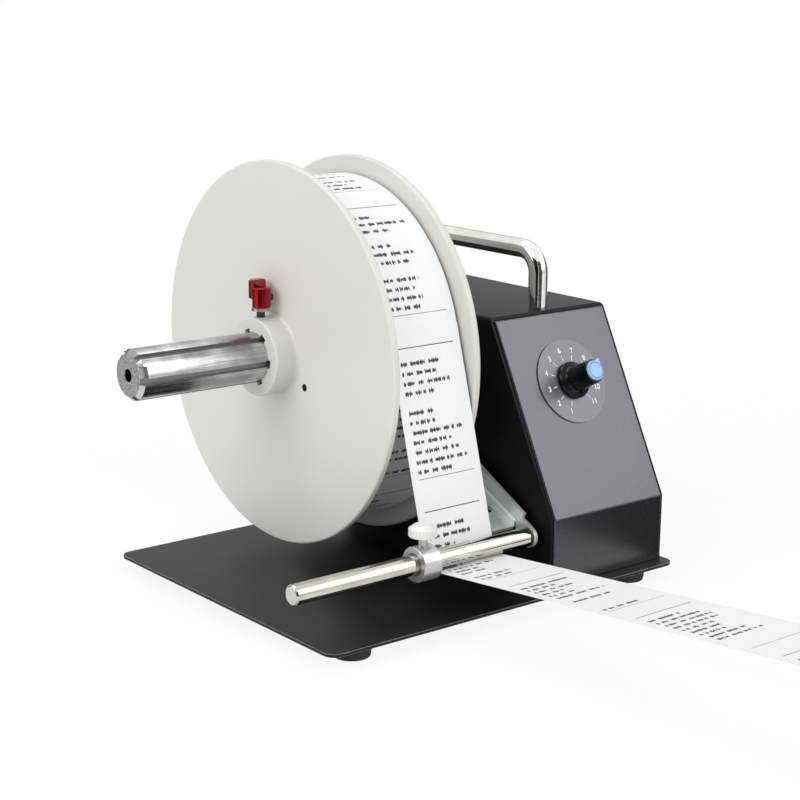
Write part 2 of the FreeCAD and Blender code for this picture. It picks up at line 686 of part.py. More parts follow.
def potentiometer():
    body = along_dial(POT_BODY_RADIUS, -SHEET - POT_BODY_DEPTH, -SHEET)
    bush = along_dial(POT_BUSH_RADIUS, -SHEET - 1.0, POT_BUSH_LENGTH - SHEET)
    bore = along_dial(POT_SHAFT_RADIUS + RUNNING, -SHEET - POT_BODY_DEPTH + 3.0, POT_BUSH_LENGTH)
    centre, up, out = dial_frame()
    lugs = []
    for side in (-1, 0, 1):
        lug = Part.makeBox(2.0, 1.0, 7.0)
        lug.Placement = FreeCAD.Placement(
            centre + X_AXIS * (side * 5.0 - 1.0) - up * (POT_BODY_RADIUS + 4.0)
            - out * (SHEET + 4.0), FreeCAD.Rotation(X_AXIS, -out, up, "XYZ"))
        lugs.append(lug)
    return joined([body, bush] + lugs).cut(bore)


def pot_nut():
    centre, up, out = dial_frame()
    start = DIAL_PLATE_THICKNESS
    corner = POT_NUT_ACROSS_FLATS / 2.0 / math.cos(math.pi / 6.0)
    points = []
    for i in range(6):
        turn = math.radians(60.0 * i)
        points.append(centre + X_AXIS * (corner * math.cos(turn)) + up * (corner * math.sin(turn))
                      + out * start)
    nut = polygon_face(points).extrude(out * POT_NUT_HEIGHT)
    return nut.cut(along_dial(POT_BUSH_RADIUS + PRESS, 0.0, 10.0))


def pot_shaft():
    return along_dial(POT_SHAFT_RADIUS, -SHEET - POT_BODY_DEPTH + 3.0 + ALMOST,
                      KNOB_HEIGHT - 3.0)


def knob_base():
    return DIAL_PLATE_THICKNESS + KNOB_LIFT


def speed_knob():
    low = knob_base()
    skirt_top = low + KNOB_SKIRT_HEIGHT
    profile = [
        (POT_SHAFT_RADIUS + PRESS, low + KNOB_RECESS_DEPTH),
        (KNOB_RECESS_RADIUS, low + KNOB_RECESS_DEPTH), (KNOB_RECESS_RADIUS, low),
        (KNOB_SKIRT_RADIUS, low), (KNOB_SKIRT_RADIUS, skirt_top - 1.4),
        (KNOB_SKIRT_RADIUS - 0.5, skirt_top - 0.5), (KNOB_SKIRT_RADIUS - 1.6, skirt_top),
        (KNOB_BODY_RADIUS + 0.5, skirt_top + 0.4), (KNOB_BODY_RADIUS, skirt_top + 1.2),
        (KNOB_BODY_RADIUS - KNOB_TAPER, KNOB_HEIGHT - 0.4),
        (KNOB_BODY_RADIUS - KNOB_TAPER - 0.4, KNOB_HEIGHT),
        (KNOB_CAP_RADIUS + PRESS, KNOB_HEIGHT), (KNOB_CAP_RADIUS + PRESS, KNOB_HEIGHT - 2.0),
        (POT_SHAFT_RADIUS + PRESS, KNOB_HEIGHT - 2.0)]
    body = revolve_dial(profile)
    centre, up, out = dial_frame()
    pointer = dial_direction(DIAL_READING)
    across = out.cross(pointer)
    root = KNOB_BODY_RADIUS - 2.0
    nose = centre + pointer * KNOB_POINTER_REACH
    heel = centre + pointer * root
    fin = [heel + across * 1.3, nose + across * 0.5, nose - across * 0.5, heel - across * 1.3]
    ridge = polygon_face([p + out * skirt_top for p in fin])
    ridge = ridge.extrude(out * (KNOB_HEIGHT - skirt_top - PRESS))
    ridge = ridge.cut(along_dial(KNOB_CAP_RADIUS + PRESS, KNOB_HEIGHT - 2.0, KNOB_HEIGHT + 1.0))
    return joined([body, ridge])


def knob_cap():
    disc = revolve_dial([(0.0, KNOB_HEIGHT - 2.0), (KNOB_CAP_RADIUS, KNOB_HEIGHT - 2.0),
                         (KNOB_CAP_RADIUS, KNOB_HEIGHT + KNOB_CAP_RISE - 0.5),
                         (KNOB_CAP_RADIUS - 0.5, KNOB_HEIGHT + KNOB_CAP_RISE),
                         (0.0, KNOB_HEIGHT + KNOB_CAP_RISE)])
    centre, up, out = dial_frame()
    pointer = dial_direction(DIAL_READING)
    across = out.cross(pointer)
    nose = centre + pointer * KNOB_POINTER_REACH
    heel = centre + pointer * 2.0
    tip = [heel + across * 3.6, nose + across * 0.4, nose - across * 0.4, heel - across * 3.6]
    arrow = polygon_face([p + out * KNOB_HEIGHT for p in tip]).extrude(out * KNOB_CAP_RISE)
    return joined([disc, arrow])


# Spindle

def groove_angles():
    return [GROOVE_ANGLE + i * 360.0 / SPINDLE_GROOVES for i in range(SPINDLE_GROOVES)]


def top_slot(x0, x1, width, floor, roof):
    """A straight slot at the top of the spindle, to be turned to its angle."""
    return box(x0, x1, -width / 2.0, width / 2.0, floor, roof)


def spindle_mandrel():
    """Fluted aluminium bar with bevelled lands, end notches, a centre hole and a shaft bore."""
    tip = -SPINDLE_OUT
    bar = revolve_x([
        (tip, 0.0), (tip, SPINDLE_RADIUS - SPINDLE_CHAMFER), (tip + SPINDLE_CHAMFER, SPINDLE_RADIUS),
        (SPINDLE_X1, SPINDLE_RADIUS), (SPINDLE_X1, 0.0)])
    floor = SPINDLE_RADIUS - GROOVE_DEPTH
    roof = SPINDLE_RADIUS + 2.0
    cutters = []
    groove = top_slot(tip - 1.0, SPINDLE_X1 + 1.0, GROOVE_WIDTH, floor, roof)
    cutters += [turned_about_x(groove, a) for a in groove_angles()]
    notch = top_slot(tip - 1.0, tip + TIP_NOTCH_LENGTH, TIP_NOTCH_WIDTH, floor, roof)
    cutters += [turned_about_x(notch, TIP_NOTCH_ANGLE + i * 360.0 / TIP_NOTCHES)
                for i in range(TIP_NOTCHES)]
    cutters.append(rod_x(TIP_HOLE_RADIUS, tip - 1.0, tip + TIP_HOLE_DEPTH))
    cutters.append(rod_x(SHAFT_RADIUS + PRESS, SPINDLE_X1 - SHAFT_IN_SPINDLE, SPINDLE_X1 + 1.0))
    return bar.cut(cutters)


def drive_shaft():
    x0 = SPINDLE_X1 - SHAFT_IN_SPINDLE + ALMOST
    x1 = BRACKET_X1 + SHAFT_PAST_BRACKET
    shaft = rod_x(SHAFT_RADIUS, x0, x1)
    shaft = shaft.makeChamfer(0.8, edges_where(shaft, lambda e: abs(e.CenterOfMass.x - x1) < 0.01
                                               and e.Length > SHAFT_RADIUS))
    for ring_x in ring_places():
        groove = rod_x(SHAFT_RADIUS + 1.0, ring_x, ring_x + RING_THICKNESS)
        groove = groove.cut(rod_x(SHAFT_RADIUS - RING_GROOVE, ring_x - 1.0, ring_x + 2.0))
        shaft = shaft.cut(groove)
    return shaft


def ring_places():
    """Left side of each retaining ring on the drive shaft."""
    return [BRACKET_X0 - RING_THICKNESS - RING_TO_BRACKET, BRACKET_X1 + RING_TO_BRACKET]


def shaft_rings():
    rings = []
    for x in ring_places():
        ring = rod_x(SHAFT_RADIUS - RING_GROOVE + RING_HEIGHT, x + PRESS, x + RING_THICKNESS - PRESS)
        ring = ring.cut(rod_x(SHAFT_RADIUS - RING_GROOVE + PRESS, x - 1.0, x + 2.0))
        gap = box(x - 1, x + 2, -1.5, 1.5, 0.0, SHAFT_RADIUS + 3.0)
        rings.append(ring.cut(gap))
    return group(rings)


# Discs

def flanged_disc(bore_radius, notch_width):
    """Disc from x = 0 to its thickness, with the collar standing out towards -x."""
    edge = DISC_RIM_RADIUS
    body = rod_x(DISC_RADIUS, 0.0, DISC_THICKNESS)
    body = body.makeFillet(edge, edges_where(body, lambda e: e.Length > DISC_RADIUS))
    collar = rod_x(COLLAR_RADIUS, -COLLAR_LENGTH, 0.5)
    collar = collar.makeFillet(COLLAR_EDGE_RADIUS, edges_where(
        collar, lambda e: abs(e.CenterOfMass.x + COLLAR_LENGTH) < 0.01 and e.Length > COLLAR_RADIUS))
    disc = joined([body, collar])
    root = edges_where(disc, lambda e: abs(e.CenterOfMass.x) < 0.01 and e.Length > COLLAR_RADIUS
                       and abs(e.BoundBox.ZMax - COLLAR_RADIUS) < 0.1)
    disc = disc.makeFillet(COLLAR_ROOT_RADIUS, root)
    cutters = [rod_x(bore_radius, -COLLAR_LENGTH - 1.0, DISC_THICKNESS + 1.0)]
    notch = top_slot(-COLLAR_LENGTH - 1.0, DISC_THICKNESS + 1.0, notch_width, bore_radius - 3.0,
                     SPINDLE_RADIUS + BORE_NOTCH_DEPTH)
    cutters += [turned_about_x(notch, a) for a in groove_angles()]
    for i in range(DISC_HOLE_COUNT):
        way = around_spindle(DISC_HOLE_ANGLE + i * 360.0 / DISC_HOLE_COUNT) * DISC_HOLE_CIRCLE
        cutters.append(rod_x(DISC_HOLE_RADIUS, -1.0, DISC_THICKNESS + 1.0, way.y, way.z))
    return disc.cut(cutters)


def outer_disc():
    disc = flanged_disc(SPINDLE_RADIUS + RUNNING, BORE_NOTCH_WIDTH)
    return disc.cut(rod_z(CLAMP_STUD_RADIUS + RUNNING, 0.0, COLLAR_RADIUS + 1.0, -CLAMP_FROM_DISC))


def inner_disc():
    """The same moulding, turned round so that its collar points at the housing."""
    disc = flanged_disc(SPINDLE_RADIUS + PRESS, BORE_NOTCH_WIDTH)
    disc = disc.mirror(Vector(0, 0, 0), X_AXIS)
    disc.translate(Vector(INNER_DISC_X1, 0, 0))
    hole_x = INNER_DISC_X1 + INNER_DISC_TO_SCREW
    return disc.cut(rod_z(GRUB_RADIUS + PRESS, 0.0, COLLAR_RADIUS + 1.0, hole_x))


def disc_grub():
    x = INNER_DISC_X1 + INNER_DISC_TO_SCREW
    foot = SPINDLE_RADIUS + PRESS
    grub = rod_z(GRUB_RADIUS, foot, foot + GRUB_LENGTH, x)
    return grub.cut(rod_z(GRUB_RADIUS / 2.0, foot + GRUB_LENGTH / 2.0, foot + GRUB_LENGTH + 1, x))


# Clamp screw of the outer disc

def clamp_seat():
    """Underside of the clamp screw's washer."""
    return COLLAR_RADIUS + CLAMP_STUD_SHOWING


def clamp_stud():
    foot = SPINDLE_RADIUS + RUNNING
    head_base = clamp_seat() + CLAMP_WASHER_THICKNESS
    stud = rod_z(CLAMP_STUD_RADIUS, foot, head_base + CLAMP_LOBE_HEIGHT / 2.0, -CLAMP_FROM_DISC)
    bottom = edges_where(stud, lambda e: abs(e.CenterOfMass.z - foot) < 0.01 and e.Length > 1.0)
    return stud.makeChamfer(0.5, bottom)


def clamp_washer():
    low = clamp_seat()
    washer = rod_z(CLAMP_WASHER_RADIUS, low, low + CLAMP_WASHER_THICKNESS, -CLAMP_FROM_DISC)
    return washer.cut(rod_z(CLAMP_STUD_RADIUS + PRESS, low - 1, low + 5, -CLAMP_FROM_DISC))


def clamp_head():
    """Two round lobes, the rear one a step higher, with a sloping valley between them."""
    low = clamp_seat() + CLAMP_WASHER_THICKNESS
    x = -CLAMP_FROM_DISC
    front = rod_z(CLAMP_FRONT_LOBE_RADIUS, low, low + CLAMP_LOBE_HEIGHT, x, -CLAMP_FRONT_OFFSET)
    rear = rod_z(CLAMP_REAR_LOBE_RADIUS, low + CLAMP_LOBE_STEP,
                 low + CLAMP_LOBE_STEP + CLAMP_LOBE_HEIGHT * 0.92, x, CLAMP_REAR_OFFSET)
    front = front.makeChamfer(CLAMP_EDGE, edges_where(front, lambda e: e.Length > CLAMP_EDGE * 20))
    rear = rear.makeChamfer(CLAMP_EDGE, edges_where(rear, lambda e: e.Length > CLAMP_EDGE * 20))
    high = low + CLAMP_LOBE_HEIGHT
    valley = extrude_x([(-2.4, high), (4.0, high + 4.4), (4.0, high + 9.0), (-9.0, high + 9.0),
                        (-9.0, high)], x - 9.0, x + 9.0)
    head = joined([front, rear]).cut(valley)
    bore_top = low + CLAMP_LOBE_HEIGHT / 2.0 + PRESS
    return head.cut(rod_z(CLAMP_STUD_RADIUS + PRESS, low - 1.0, bore_top, x))


# Label roll and strip

def roll_core():
    core = rod_x(CORE_BORE_RADIUS + CORE_WALL, WEB_X0, WEB_X1)
    return core.cut(rod_x(CORE_BORE_RADIUS, WEB_X0 - 1, WEB_X1 + 1))


def label_roll():
    roll = rod_x(ROLL_RADIUS, WEB_X0, WEB_X1)
    return roll.cut(rod_x(CORE_BORE_RADIUS + CORE_WALL + PRESS, WEB_X0 - 1, WEB_X1 + 1))


def strand_normal():
    """Way from the roll's axis square to the strand, which touches the roll and the rod."""
    reach = ROLL_RADIUS + ALMOST + WEB_THICKNESS + PRESS + ROD_RADIUS
    distance = math.hypot(ROD_Y, ROD_Z)
    angle = math.atan2(ROD_Z, ROD_Y) - math.acos(reach / distance)
    return Vector(0, math.cos(angle), math.sin(angle))


def tail_direction():
    slope = math.radians(TAIL_SLOPE)
    return Vector(0, -math.cos(slope), math.sin(slope))


def under_rod(radius, direction):
    """Point at a radius from the rod's axis, square to a direction and below the rod."""
    square = X_AXIS.cross(direction)
    if square.z > 0:
        square = square * -1.0
    return Vector(WEB_X0, ROD_Y, ROD_Z) + square * radius


def label_strand():
    """From the roll down behind the guide rod and round under it."""
    normal = strand_normal()
    rod = Vector(WEB_X0, ROD_Y, ROD_Z)
    inner = ROD_RADIUS + PRESS
    outer = inner + WEB_THICKNESS
    start = Vector(WEB_X0, 0, 0) + normal * (ROLL_RADIUS + ALMOST)
    a_in, a_out = rod - normal * inner, rod - normal * outer
    b_in, b_out = under_rod(inner, tail_direction()), under_rod(outer, tail_direction())
    middle = ((a_in - rod) + (b_in - rod)).normalize()
    wire = Part.Wire([
        Part.makeLine(start, a_out),
        Part.Arc(a_out, rod + middle * outer, b_out).toShape(),
        Part.makeLine(b_out, b_in),
        Part.Arc(b_in, rod + middle * inner, a_in).toShape(),
        Part.makeLine(a_in, start + normal * WEB_THICKNESS),
        Part.makeLine(start + normal * WEB_THICKNESS, start)])
    return Part.Face(wire).extrude(X_AXIS * WEB_WIDTH)


def label_tail():
    """From under the rod forwards, rising a little towards where the labels come from."""
    inner = ROD_RADIUS + PRESS
    way = tail_direction()
    top, bottom = under_rod(inner, way), under_rod(inner + WEB_THICKNESS, way)
    ends = []
    for start in (top, bottom):
        ends.append(start + way * ((-TAIL_REACH - start.y) / way.y))
    return polygon_face([top, ends[0], ends[1], bottom]).extrude(X_AXIS * WEB_WIDTH)


# Tension arm

def arm_frame():
    """Way along the arm from its pivot to the rod, the way down off it, and its length."""
    along = Vector(0, ROD_Y - PIVOT_Y, ROD_Z - PIVOT_Z)
    length = along.Length
    along = along * (1.0 / length)
    return along, X_AXIS.cross(along), length


def stop_pin_place():
    lower_side = ARM_SHEET - ARM_WEB_LIFT
    point = arm_point(STOP_PIN_ALONG_ARM, lower_side + STOP_PIN_RADIUS + ALMOST, 0.0)
    return point.y, point.z


def arm_point(t, d, x):
    along, down, length = arm_frame()
    return Vector(x, PIVOT_Y, PIVOT_Z) + along * t + down * d


def arm_flange_outline(length):
    """Side view of the arm as (t, d) corners, between its two round ends."""
    top, low = -ARM_FLANGE_HEIGHT, ARM_SHEET - ARM_WEB_LIFT
    step = length - ARM_FLANGE_FROM_ROD
    bend_end = length - ARM_WEB_FROM_ROD - ARM_WEB_CORNER
    return [(0.0, -ARM_PIVOT_EYE_RADIUS), (ARM_WEB_FROM_PIVOT, top), (step, top),
            (step, -ARM_EYE_RADIUS), (length, -ARM_EYE_RADIUS), (length, ARM_EYE_RADIUS),
            (bend_end, low), (ARM_WEB_FROM_PIVOT, low), (0.0, ARM_PIVOT_EYE_RADIUS)]


def arm_web_outline(length):
    """The web from above as (t, x) corners: narrow past the disc, broad by the rod."""
    end = length - ARM_WEB_FROM_ROD
    broad = end - ARM_PLATE_LENGTH
    inner = ARM_X0 + ARM_SHEET / 2.0
    narrow_x, broad_x = ARM_X0 - ARM_WEB_WIDTH, ARM_X0 - ARM_PLATE_WIDTH
    return [(ARM_WEB_FROM_PIVOT, inner), (end - ARM_WEB_CORNER, inner),
            (end - ARM_WEB_CORNER, ARM_X0), (end, ARM_X0 - ARM_WEB_CORNER), (end, broad_x),
            (broad + 6.0, broad_x), (broad, narrow_x), (ARM_WEB_FROM_PIVOT + 4.0, narrow_x),
            (ARM_WEB_FROM_PIVOT, narrow_x + 4.0)]


def tension_arm():
    """Sheet bent to an L: a side flange with an eye at each end, and a web below the labels."""
    along, down, length = arm_frame()
    flange = polygon_face([arm_point(t, d, ARM_X0) for t, d in arm_flange_outline(length)])
    flange = flange.extrude(X_AXIS * ARM_SHEET)
    eyes = [rod_x(ARM_PIVOT_EYE_RADIUS, ARM_X0, ARM_X1, PIVOT_Y, PIVOT_Z),
            rod_x(ARM_EYE_RADIUS, ARM_X0, ARM_X1, ROD_Y, ROD_Z)]
    web = polygon_face([arm_point(t, -ARM_WEB_LIFT, x) for t, x in arm_web_outline(length)])
    web = web.extrude(down * ARM_SHEET)
    arm = joined([flange, web] + eyes)
    inside = edges_where(arm, lambda e: e.Length > 20.0 and abs(e.CenterOfMass.x - ARM_X0) < 0.01
                         and abs(arm_depth(e.CenterOfMass) + ARM_WEB_LIFT) < 0.01)
    arm = arm.makeFillet(ARM_INNER_BEND, inside)
    for radius, from_rod, from_flange in (
            (ARM_HOLE_RADIUS, ARM_HOLE_FROM_ROD, ARM_HOLE_FROM_FLANGE),
            (ARM_PILOT_RADIUS, ARM_PILOT_FROM_ROD, ARM_PILOT_FROM_FLANGE)):
        start = arm_point(length - from_rod, -2.0 * ARM_SHEET, ARM_X0 - from_flange)
        arm = arm.cut(Part.makeCylinder(radius, 4.0 * ARM_SHEET, start, down))
    arm = arm.cut(rod_x(PIVOT_RADIUS + PRESS, ARM_X0 - 1, ARM_X1 + 1, PIVOT_Y, PIVOT_Z))
    return arm.cut(rod_x(SPIGOT_RADIUS + PRESS, ARM_X0 - 1, ARM_X1 + 1, ROD_Y, ROD_Z))


def arm_depth(point):
    """How far below the line from the pivot to the rod a point lies."""
    along, down, length = arm_frame()
    return (point - Vector(point.x, PIVOT_Y, PIVOT_Z)).dot(down)


def guide_rod():
    near = -ROD_OUT
    shoulder = ARM_X0 - ROD_SPACER_LENGTH
    rod = rod_x(ROD_RADIUS, near, shoulder, ROD_Y, ROD_Z)
    rod = rod.makeChamfer(ROD_EDGE, edges_where(
        rod, lambda e: abs(e.CenterOfMass.x - near) < 0.01 and e.Length > ROD_RADIUS))
    spigot = rod_x(SPIGOT_RADIUS, shoulder - 1.0, ARM_X1 + 0.8, ROD_Y, ROD_Z)
    return joined([rod, spigot])


def rod_spacer():
    """Dark ring between the rod's shoulder and the arm's eye."""
    x0 = ARM_X0 - ROD_SPACER_LENGTH
    ring = rod_x(ROD_SPACER_RADIUS, x0, ARM_X0, ROD_Y, ROD_Z)
    return ring.cut(rod_x(SPIGOT_RADIUS + PRESS, x0 - 1.0, ARM_X0 + 1.0, ROD_Y, ROD_Z))


def arm_pivot_shaft():
    x1 = flag_x0() + FLAG_HUB_LENGTH + 1.0
    head = rod_x(PIVOT_HEAD_RADIUS, ARM_X0 - PIVOT_HEAD_THICKNESS, ARM_X0, PIVOT_Y, PIVOT_Z)
    shaft = rod_x(PIVOT_RADIUS, ARM_X0 - 1.0, x1, PIVOT_Y, PIVOT_Z)
    return joined([head, shaft])


def bush_x1():
    return BRACKET_X0 + BRACKET_SHEET + 2.0


def arm_pivot_bush():
    outer = PIVOT_RADIUS + PIVOT_BUSH_WALL
    flange_x0 = HOUSING_X0 - PIVOT_BUSH_FLANGE_THICKNESS
    bush = rod_x(outer, HOUSING_X0 - 0.5, bush_x1(), PIVOT_Y, PIVOT_Z)
    flange = rod_x(PIVOT_BUSH_FLANGE, flange_x0, HOUSING_X0, PIVOT_Y, PIVOT_Z)
    bush = joined([bush, flange])
    return bush.cut(rod_x(PIVOT_RADIUS + RUNNING, flange_x0 - 1, bush_x1() + 1, PIVOT_Y, PIVOT_Z))


def flag_x0():
    return bush_x1() + ALMOST


def flag_points():
    """The flag points down, away from the gears."""
    return Vector(0, -0.35, -1.0).normalize()


def sensor_flag():
    x0 = flag_x0()
    hub = rod_x(FLAG_HUB_RADIUS, x0, x0 + FLAG_HUB_LENGTH, PIVOT_Y, PIVOT_Z)
    down = flag_points()
    side = X_AXIS.cross(down)
    blade_x = x0 + FLAG_HUB_LENGTH / 2.0 - FLAG_THICKNESS / 2.0
    pivot = Vector(blade_x, PIVOT_Y, PIVOT_Z)
    blade = polygon_face([pivot + side * 3.0, pivot + side * 5.0 + down * FLAG_REACH,
                          pivot - side * 5.0 + down * FLAG_REACH, pivot - side * 3.0])
    flag = joined([hub, blade.extrude(X_AXIS * FLAG_THICKNESS)])
    return flag.cut(rod_x(PIVOT_RADIUS + PRESS, x0 - 1, x0 + FLAG_HUB_LENGTH + 1, PIVOT_Y, PIVOT_Z))


def arm_sensor():
    """Slotted sensor on the bracket's left side, with the flag's blade in its slot."""
    wall = BRACKET_X0 + BRACKET_SHEET
    blade_x0 = flag_x0() + FLAG_HUB_LENGTH / 2.0 - FLAG_THICKNESS / 2.0
    slot = 1.2
    z1 = PIVOT_Z - FLAG_REACH + 6.0
    z0 = z1 - 14.0
    y_mid = PIVOT_Y - 4.0
    block = box(wall, blade_x0 + FLAG_THICKNESS + slot + 4.0, y_mid - 6.0, y_mid + 6.0, z0, z1)
    gap = box(blade_x0 - slot, blade_x0 + FLAG_THICKNESS + slot, y_mid - 10.0, y_mid + 10.0,
              z0 + 4.5, z1 + 1.0)
    return block.cut(gap)


def arm_stop_pin():
    """Buffer screwed into the housing's side, which the resting arm lies on."""
    y, z = stop_pin_place()
    pin = rod_x(STOP_PIN_RADIUS, ARM_X0 - 0.5, HOUSING_X0 + SHEET + 1.5, y, z)
    nut = rod_x(STOP_PIN_RADIUS + 2.0, HOUSING_X0 + SHEET, HOUSING_X0 + SHEET + 1.5, y, z)
    return joined([pin, nut])


# Stop collar on the guide rod

def stop_x1():
    return WEB_X0 - SLIDE_GAP


def stop_mid_x():
    return stop_x1() - COLLAR_STOP_LENGTH / 2.0


def stop_collar():
    x1 = stop_x1()
    x0 = x1 - COLLAR_STOP_LENGTH
    collar = rod_x(COLLAR_STOP_RADIUS, x0, x1, ROD_Y, ROD_Z)
    collar = collar.cut(rod_x(ROD_RADIUS + RUNNING, x0 - 1, x1 + 1, ROD_Y, ROD_Z))
    ends = edges_where(collar, lambda e: min(abs(e.CenterOfMass.x - x0),
                                             abs(e.CenterOfMass.x - x1)) < 0.01)
    bore_ends = [e for e in ends if e.BoundBox.ZLength < 2.0 * COLLAR_STOP_RADIUS - 2.0]
    collar = collar.makeChamfer(COLLAR_STOP_CHAMFER, bore_ends)
    outer_ends = edges_where(collar, lambda e: min(abs(e.CenterOfMass.x - x0),
                                                   abs(e.CenterOfMass.x - x1)) < 0.01
                             and e.BoundBox.ZLength > 2.0 * COLLAR_STOP_RADIUS - 0.5)
    collar = collar.makeChamfer(COLLAR_STOP_CHAMFER / 2.0, outer_ends)
    return collar.cut(rod_z(SCREW_STUD_RADIUS + RUNNING, ROD_Z, ROD_Z + COLLAR_STOP_RADIUS + 2,
                            stop_mid_x(), ROD_Y))


def screw_head_z():
    return ROD_Z + COLLAR_STOP_RADIUS + SCREW_STUD_SHOWING


def collar_screw_stud():
    foot = ROD_Z + ROD_RADIUS + RUNNING
    stud = rod_z(SCREW_STUD_RADIUS, foot, screw_head_z() + SCREW_RIM_HEIGHT, stop_mid_x(), ROD_Y)
    bottom = edges_where(stud, lambda e: abs(e.CenterOfMass.z - foot) < 0.01 and e.Length > 1.0)
    return stud.makeChamfer(0.5, bottom)


def collar_screw_head():
    """Ribbed rim under a blunt cone."""
    low = screw_head_z()
    x, y = stop_mid_x(), ROD_Y
    rim_top = low + SCREW_RIM_HEIGHT
    profile = [(0.0, low), (SCREW_HEAD_RADIUS - 0.5, low), (SCREW_HEAD_RADIUS, low + 0.5),
               (SCREW_HEAD_RADIUS, rim_top), (SCREW_CROWN_RADIUS, rim_top + SCREW_CROWN_HEIGHT),
               (0.0, rim_top + SCREW_CROWN_HEIGHT)]
    face = polygon_face([Vector(x + r, y, z) for r, z in profile])
    head = face.revolve(Vector(x, y, low), Z_AXIS, 360)
    ribs = []
    for i in range(SCREW_RIBS):
        turn = 2.0 * math.pi * i / SCREW_RIBS
        ribs.append(rod_z(SCREW_RIB_RADIUS, low - 1.0, rim_top + 2.0,
                          x + SCREW_HEAD_RADIUS * math.cos(turn),
                          y + SCREW_HEAD_RADIUS * math.sin(turn)))
    head = head.cut(ribs)
    return head.cut(rod_z(SCREW_STUD_RADIUS + PRESS, low - 1.0, rim_top + PRESS, x, y))


# Drive

def drive_bracket():
    """U-shaped sheet on the base plate, with the shaft bearings, the motor and the pivot bush."""
    floor = BASE_TOP + BRACKET_SHEET
    sheet = BRACKET_SHEET
    left = box(BRACKET_X0, BRACKET_X0 + sheet, BRACKET_FRONT_Y, BRACKET_BACK_Y, BASE_TOP,
               BRACKET_TOP_Z)
    right = box(BRACKET_X1 - sheet, BRACKET_X1, BRACKET_FRONT_Y, BRACKET_BACK_Y, BASE_TOP,
                BRACKET_TOP_Z)
    foot = box(BRACKET_X0, BRACKET_X1, BRACKET_FRONT_Y, BRACKET_BACK_Y, BASE_TOP, floor)
    bracket = joined([left, right, foot])
    bends = edges_where(bracket, lambda e: abs(e.CenterOfMass.z - BASE_TOP) < 0.01
                        and abs(e.tangentAt(e.FirstParameter).y) > 0.99)
    bracket = bracket.makeFillet(sheet, bends)
    cutters = [rod_x(BEARING_RADIUS + PRESS, BRACKET_X0 - 1, BRACKET_X1 + 1),
               rod_x(MOTOR_PILOT_RADIUS + PRESS, BRACKET_X1 - sheet - 1, BRACKET_X1 + 1, 0, MOTOR_Z),
               rod_x(PIVOT_RADIUS + PIVOT_BUSH_WALL + PRESS, BRACKET_X0 - 1,
                     BRACKET_X0 + sheet + 1, PIVOT_Y, PIVOT_Z)]
    cutters += [rod_x(M3_RADIUS + PRESS, BRACKET_X1 - sheet - 1, BRACKET_X1 + 1, y, z)
                for y, z in motor_screw_places()]
    cutters += [rod_z(M3_RADIUS + PRESS, BASE_TOP - 1, floor + 1, x, y)
                for x, y in bracket_screw_places()]
    return bracket.cut(cutters)


def bearing(x0, flange_x0):
    """Flanged ball bearing as one ring with its shield recesses."""
    ring = rod_x(BEARING_RADIUS, x0, x0 + BEARING_WIDTH)
    flange = rod_x(BEARING_FLANGE_RADIUS, flange_x0, flange_x0 + BEARING_FLANGE_THICKNESS)
    ring = joined([ring, flange])
    cutters = [rod_x(SHAFT_RADIUS + RUNNING, x0 - 1, x0 + BEARING_WIDTH + 1)]
    for face_x, depth in ((x0 - 1.0, 1.4), (x0 + BEARING_WIDTH - 0.4, 1.4)):
        recess = rod_x(BEARING_RADIUS - 1.5, face_x, face_x + depth)
        cutters.append(recess.cut(rod_x(SHAFT_RADIUS + 1.5, face_x - 1, face_x + depth + 1)))
    return ring.cut(cutters)


def shaft_bearings():
    left = bearing(BRACKET_X0, BRACKET_X0 + BRACKET_SHEET)
    right = bearing(BRACKET_X1 - BEARING_WIDTH,
                    BRACKET_X1 - BRACKET_SHEET - BEARING_FLANGE_THICKNESS)
    return group([left, right])


def involute(angle):
    return math.tan(angle) - angle


def gear_outline(teeth, centre_angle):
    """Outline points of a spur gear about zero, with one tooth centred on centre_angle."""
    pitch_r = GEAR_MODULE * teeth / 2.0
    base_r = pitch_r * math.cos(math.radians(PRESSURE_ANGLE))
    tip_r = pitch_r + GEAR_ADDENDUM * GEAR_MODULE
    root_r = pitch_r - GEAR_DEDENDUM * GEAR_MODULE
    half = math.pi / (2.0 * teeth) - GEAR_BACKLASH / (2.0 * pitch_r)
    half += involute(math.radians(PRESSURE_ANGLE))
    start_r = max(base_r, root_r)
    steps = 4
    flank = [(root_r, half)] if root_r < base_r - 0.01 else []
    for i in range(steps + 1):
        r = start_r + (tip_r - start_r) * i / steps
        flank.append((r, half - involute(math.acos(min(base_r / r, 1.0)))))
    points = []
    for tooth in range(teeth):
        middle = centre_angle + 2.0 * math.pi * tooth / teeth
        points += [(r, middle - a) for r, a in flank]
        points += [(r, middle + a) for r, a in reversed(flank)]
    return [(r * math.cos(a), r * math.sin(a)) for r, a in points]


def driven_gear():
    outline = gear_outline(GEAR_TEETH, -math.pi / 2.0)
    gear = extrude_x(outline, GEAR_X0, GEAR_X0 + GEAR_WIDTH)
    hub_x1 = GEAR_X0 + GEAR_WIDTH + GEAR_HUB_LENGTH
    gear = joined([gear, rod_x(GEAR_HUB_RADIUS, GEAR_X0, hub_x1)])
    for i in range(5):
        way = around_spindle(36.0 + 72.0 * i) * (GEAR_HUB_RADIUS + 4.0)
        gear = gear.cut(rod_x(2.6, GEAR_X0 - 1, hub_x1 + 1, way.y, way.z))
    gear = gear.cut(rod_x(SHAFT_RADIUS + PRESS, GEAR_X0 - 1, hub_x1 + 1))
    return gear.cut(rod_z(GRUB_RADIUS + PRESS, 0.0, GEAR_HUB_RADIUS + 1.0, gear_grub_x()))


def gear_grub_x():
    return GEAR_X0 + GEAR_WIDTH + GEAR_HUB_LENGTH / 2.0


